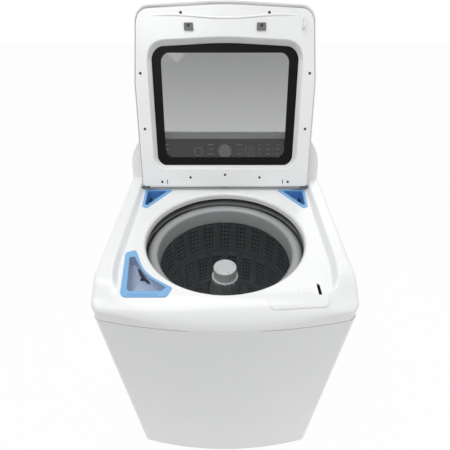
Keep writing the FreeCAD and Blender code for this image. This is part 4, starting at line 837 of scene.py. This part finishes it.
@dataclass
class Lid(Assembly):
    """The open lid: its outer skin, inner frame, grey glass and fittings."""

    dressings: list[Dressing] = field(default_factory=lambda: [
        Dressing("lid_outer_panel", ENAMEL, 40), Dressing("lid_inner_panel", WHITE_ABS, 32),
        Dressing("lid_glass", GLASS), Dressing("lid_bumpers", BUMPER), Dressing("lid_screws", STEEL),
        Dressing("lid_strike", WHITE_ABS), Dressing("lid_knuckles", BUMPER)])
    origin: tuple[float, float, float] = (0.0, 159.4, 928.39)
    pane_middle: float = 257.0
    pane_half: tuple[float, float] = (236.0, 187.0)
    clear_half: tuple[float, float] = (206.0, 157.0)
    pane_n: float = -18.9
    screws: tuple[tuple[float, float], ...] = ((0, 41.6), (135, 517), (-135, 517), (271, 354.5),
                                               (-271, 354.5),
                                               (269, 190), (-269, 190), (121, 32.7), (-121, 32.7),
                                               (221.5, 17.6), (-221.5, 17.6))

    def detail(self) -> None:
        """Fire the frit on the glass, then add the crease, and painted shade in the screw wells, two eyes and
        the lower slots.
        """
        place = leaning(Vector([c * MM for c in self.origin]))
        self._frit(place)
        crease = bmesh.new()
        bmesh.ops.create_grid(crease, x_segments=48, y_segments=6, size=0.5)
        for vert in crease.verts:
            across, up = vert.co.x * 2, vert.co.y * 2
            taper = max(0.0, 1.0 - across ** 8)
            n = 2.6 * max(0.0, 1.0 - up * up) * taper
            s = 507.5 - 4.0 * math.cos(1.25 * math.pi * across) + 3.5 * up
            vert.co = (across * 222.0 * MM, s * MM, (n - 0.05) * MM)
        bmesh.ops.transform(crease, matrix=place, verts=crease.verts)
        add_piece(crease, "lid_crease", "lid", WHITE_ABS, crease=80.0)
        # Painted shade: dark discs in the screw wells and two eyes, and dark bars in the lower slots.
        wells = bmesh.new()
        for x, s in self.screws:
            matrix = place @ Matrix.Translation((x * MM, s * MM, 0.0002))
            bmesh.ops.create_cone(wells, cap_ends=True, segments=20, radius1=0.0042, radius2=0.0042,
                                  depth=0.0004,
                                  matrix=matrix)
        for x in (-112.0, 112.0):
            eye = place @ Matrix.Translation((x * MM, 0.483, 0.0051))
            bmesh.ops.create_cone(wells, cap_ends=True, segments=20, radius1=0.0048, radius2=0.0040,
                                  depth=0.0006,
                                  matrix=eye)
        for x in (-203.0, 203.0):
            bar(wells, ((x - 0.8) * MM, 0.011, -0.0002), ((x + 0.8) * MM, 0.025, 0.0003), place)
        add_piece(wells, "lid_well_shade", "lid", BLACK)

    def _frit(self, place: Matrix) -> None:
        """Band the pane's border with a thin black ring of rounded corners.

        Args:
            place: the lid's leaning frame.
        """
        frit = bmesh.new()
        for half, corner in ((self.pane_half, 40.0), (self.clear_half, 26.0)):
            ring = bmesh.ops.create_circle(frit, segments=96, radius=1.0)["verts"]
            for vert in ring:
                across, up = vert.co.x, vert.co.y
                x = math.copysign(half[0] - corner, across) + corner * across
                s = math.copysign(half[1] - corner, up) + corner * up + self.pane_middle
                s += 9.0 * (1.0 - (x / half[0]) ** 2) if up > 0.0 else 0.0
                vert.co = (x * MM, s * MM, self.pane_n * MM)
        bmesh.ops.bridge_loops(frit, edges=frit.edges[:])
        bmesh.ops.recalc_face_normals(frit, faces=frit.faces)
        bmesh.ops.transform(frit, matrix=place, verts=frit.verts)
        bmesh.ops.solidify(frit, geom=frit.faces[:], thickness=0.0003)
        bmesh.ops.recalc_face_normals(frit, faces=frit.faces)
        add_piece(frit, "lid_frit", "lid", FRIT)


@dataclass
class Console(Assembly):
    """The rear console with its gloss black panel, knob, display and buttons."""

    dressings: list[Dressing] = field(default_factory=lambda: [
        Dressing("console_housing", WHITE_ABS, 40), Dressing("console_back_cover", ZINC),
        Dressing("console_fascia", PANEL), Dressing("display_window", LENS), Dressing("control_board", BOARD),
        Dressing("selector_knob", KNOB), Dressing("start_button", PANEL), Dressing("option_button_1", PANEL),
        Dressing("option_button_2", PANEL), Dressing("option_button_3", PANEL)])
    face: tuple[float, float, float] = (0.0, 281.7, 1050.0)
    proud: float = 1.55
    level: float = -42.86
    rows: tuple[float, ...] = (24.0, 8.0, -8.0, -24.0)

    def detail(self) -> None:
        """Print the panel's plain marks and rings, and cut the knob's pointer."""
        place = leaning(Vector([c * MM for c in self.face])) @ Matrix.Translation((0, self.level * MM,
                                                                                 self.proud * MM))
        marks = bmesh.new()
        for row in self.rows:
            for x, width in ((-62, 22), (40, 22), (118, 10), (150, 10), (184, 10), (-215, 14)):
                if x == -215 and row < 0:
                    continue
                self._dash(marks, place, x, row, width)
        for x in (72.5, 103.0):
            bar(marks, (x * MM, -0.0160, -0.0001), ((x + 0.7) * MM, 0.0160, 0.0001), place)
        for t in (-16.0, 15.3):
            bar(marks, (0.0725, t * MM, -0.0001), (0.1037, (t + 0.7) * MM, 0.0001), place)
        for index in range(15):
            angle = math.radians(-40 + 20 * index + 60)
            tick = place @ Matrix.Rotation(angle, 4, "Z")
            bar(marks, (0.0272, -0.0003, -0.0001), (0.0300, 0.0003, 0.0001), tick)
        for radius in (13.0, 15.0):
            for step in range(36):
                turn = place @ Matrix.Translation((-0.095, 0, 0)) @ Matrix.Rotation(math.tau * step / 36, 4,
                                                                                    "Z")
                bar(marks, ((radius - 0.35) * MM, -0.0012, -0.0001), ((radius + 0.35) * MM, 0.0012, 0.0001),
                    turn)
        add_piece(marks, "panel_marks", "cabinet", PRINT)
        pointer = bmesh.new()
        bar(pointer, (-0.0008, 0.0125, 0.0197), (0.0008, 0.0215, 0.0203),
            place @ Matrix.Translation((0, 0, -0.0003)))
        add_piece(pointer, "knob_pointer", "knob", BLACK)

    def _dash(self, shape: bmesh.types.BMesh, place: Matrix, x: float, t: float, width: float) -> None:
        """Add one printed dash, placed and sized in millimetres on the leaning face."""
        bar(shape, (x * MM, (t - 0.7) * MM, -0.0001), ((x + width) * MM, (t + 0.7) * MM, 0.0001), place)


@dataclass
class Studio:
    """A pale floor, a plain white surround, soft lamps and the camera."""

    eye: tuple[float, float, float] = (0.0, -0.9039, 1.5425)
    tilt: float = 46.1
    lens: float = 26.864
    rise: float = 0.1
    surround: float = 0.5
    floor_glow: float = 0.96

    def build(self) -> None:
        """Set the view, the floor, the surround and the lamps."""
        scene = bpy.context.scene
        scene.view_settings.view_transform = "Standard"
        camera = bpy.data.cameras.new("camera")
        camera.lens, camera.sensor_width, camera.shift_y = self.lens, 36.0, self.rise
        camera.clip_start = 0.01
        holder = bpy.data.objects.new("camera", camera)
        holder.location, holder.rotation_euler = self.eye, (math.radians(self.tilt), 0.0, 0.0)
        scene.collection.objects.link(holder)
        scene.camera = holder
        self._surround(scene)
        self._floor(scene)
        self._lamp("key", (-0.5, -0.5, 3.2), 2.0, 31.0)
        self._lamp("fill", (2.4, -1.6, 1.6), 1.6, 9.0)
        self._lamp("rear", (0.4, 2.2, 2.6), 2.0, 16.0)

    def _seen(self, tree: bpy.types.NodeTree) -> bpy.types.NodeSocket:
        """Give 1 where the camera, a reflection or a view through glass meets this."""
        path = add_node(tree, "ShaderNodeLightPath").outputs
        looked = add_node(tree, "ShaderNodeMath", {0: path["Is Camera Ray"], 1: path["Is Glossy Ray"]},
                          operation="MAXIMUM")
        return add_node(tree, "ShaderNodeMath", {0: looked.outputs[0], 1: path["Is Transmission Ray"]},
                        operation="MAXIMUM").outputs[0]

    def _surround(self, scene: bpy.types.Scene) -> None:
        """Light evenly from all round, and show plain white where it is looked at.

        Args:
            scene: the scene that takes the world.
        """
        world = bpy.data.worlds.new("surround")
        world.use_nodes = True
        scene.world = world
        tree = world.node_tree
        strength = add_node(tree, "ShaderNodeMapRange", {"Value": self._seen(tree), "To Min": self.surround,
                                                         "To Max": 1.0})
        tree.links.new(strength.outputs[0], tree.nodes["Background"].inputs["Strength"])
        tree.nodes["Background"].inputs["Color"].default_value = (1.0, 1.0, 1.0, 1.0)

    def _floor(self, scene: bpy.types.Scene) -> None:
        """Lay a wide white floor that keeps a faint shadow.

        Args:
            scene: the scene that takes the floor.
        """
        shape = bmesh.new()
        bmesh.ops.create_grid(shape, x_segments=1, y_segments=1, size=8.0)
        mesh = bpy.data.meshes.new("floor")
        shape.to_mesh(mesh)
        shape.free()
        paper = bpy.data.materials.new("white_studio_floor")
        paper.use_nodes = True
        tree = paper.node_tree
        shader = tree.nodes["Principled BSDF"]
        shader.inputs["Base Color"].default_value = (0.9, 0.9, 0.9, 1.0)
        shader.inputs["Roughness"].default_value = 0.8
        share = add_node(tree, "ShaderNodeMath", {0: self._seen(tree), 1: self.floor_glow},
                         operation="MULTIPLY")
        glow = add_node(tree, "ShaderNodeEmission", {"Color": (1.0, 1.0, 1.0, 1.0), "Strength": 1.0})
        mix = add_node(tree, "ShaderNodeMixShader", {0: share.outputs[0], 1: shader.outputs[0],
                                                     2: glow.outputs[0]})
        tree.links.new(mix.outputs[0], tree.nodes["Material Output"].inputs["Surface"])
        mesh.materials.append(paper)
        floor = bpy.data.objects.new("floor", mesh)
        scene.collection.objects.link(floor)

    def _lamp(self, name: str, place: tuple[float, float, float], size: float, power: float) -> None:
        """Hang one large soft lamp, aimed at the machine.

        Args:
            name: the lamp's name.
            place: where it hangs, in metres.
            size: the side of its square, in metres.
            power: its power, in watts.
        """
        lamp = bpy.data.lights.new(name, "AREA")
        lamp.size, lamp.energy = size, power
        holder = bpy.data.objects.new(name, lamp)
        holder.location = place
        aim = Vector((0.0, -0.05, 0.75)) - Vector(place)
        holder.rotation_euler = aim.to_track_quat("-Z", "Y").to_euler()
        bpy.context.scene.collection.objects.link(holder)


def main() -> None:
    """Build every sub-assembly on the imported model, then the studio."""
    logging.basicConfig(level=logging.INFO, format="%(message)s")
    for old in list(bpy.data.objects):
        bpy.data.objects.remove(old)
    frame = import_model()
    for assembly in (Cabinet(), Deck(), Dispensers(), Drum(), Agitator(), Lid(), Console()):
        LOG.info("building %s", type(assembly).__name__)
        assembly.build(frame)
    Studio().build()


if __name__ == "__main__":
    main()
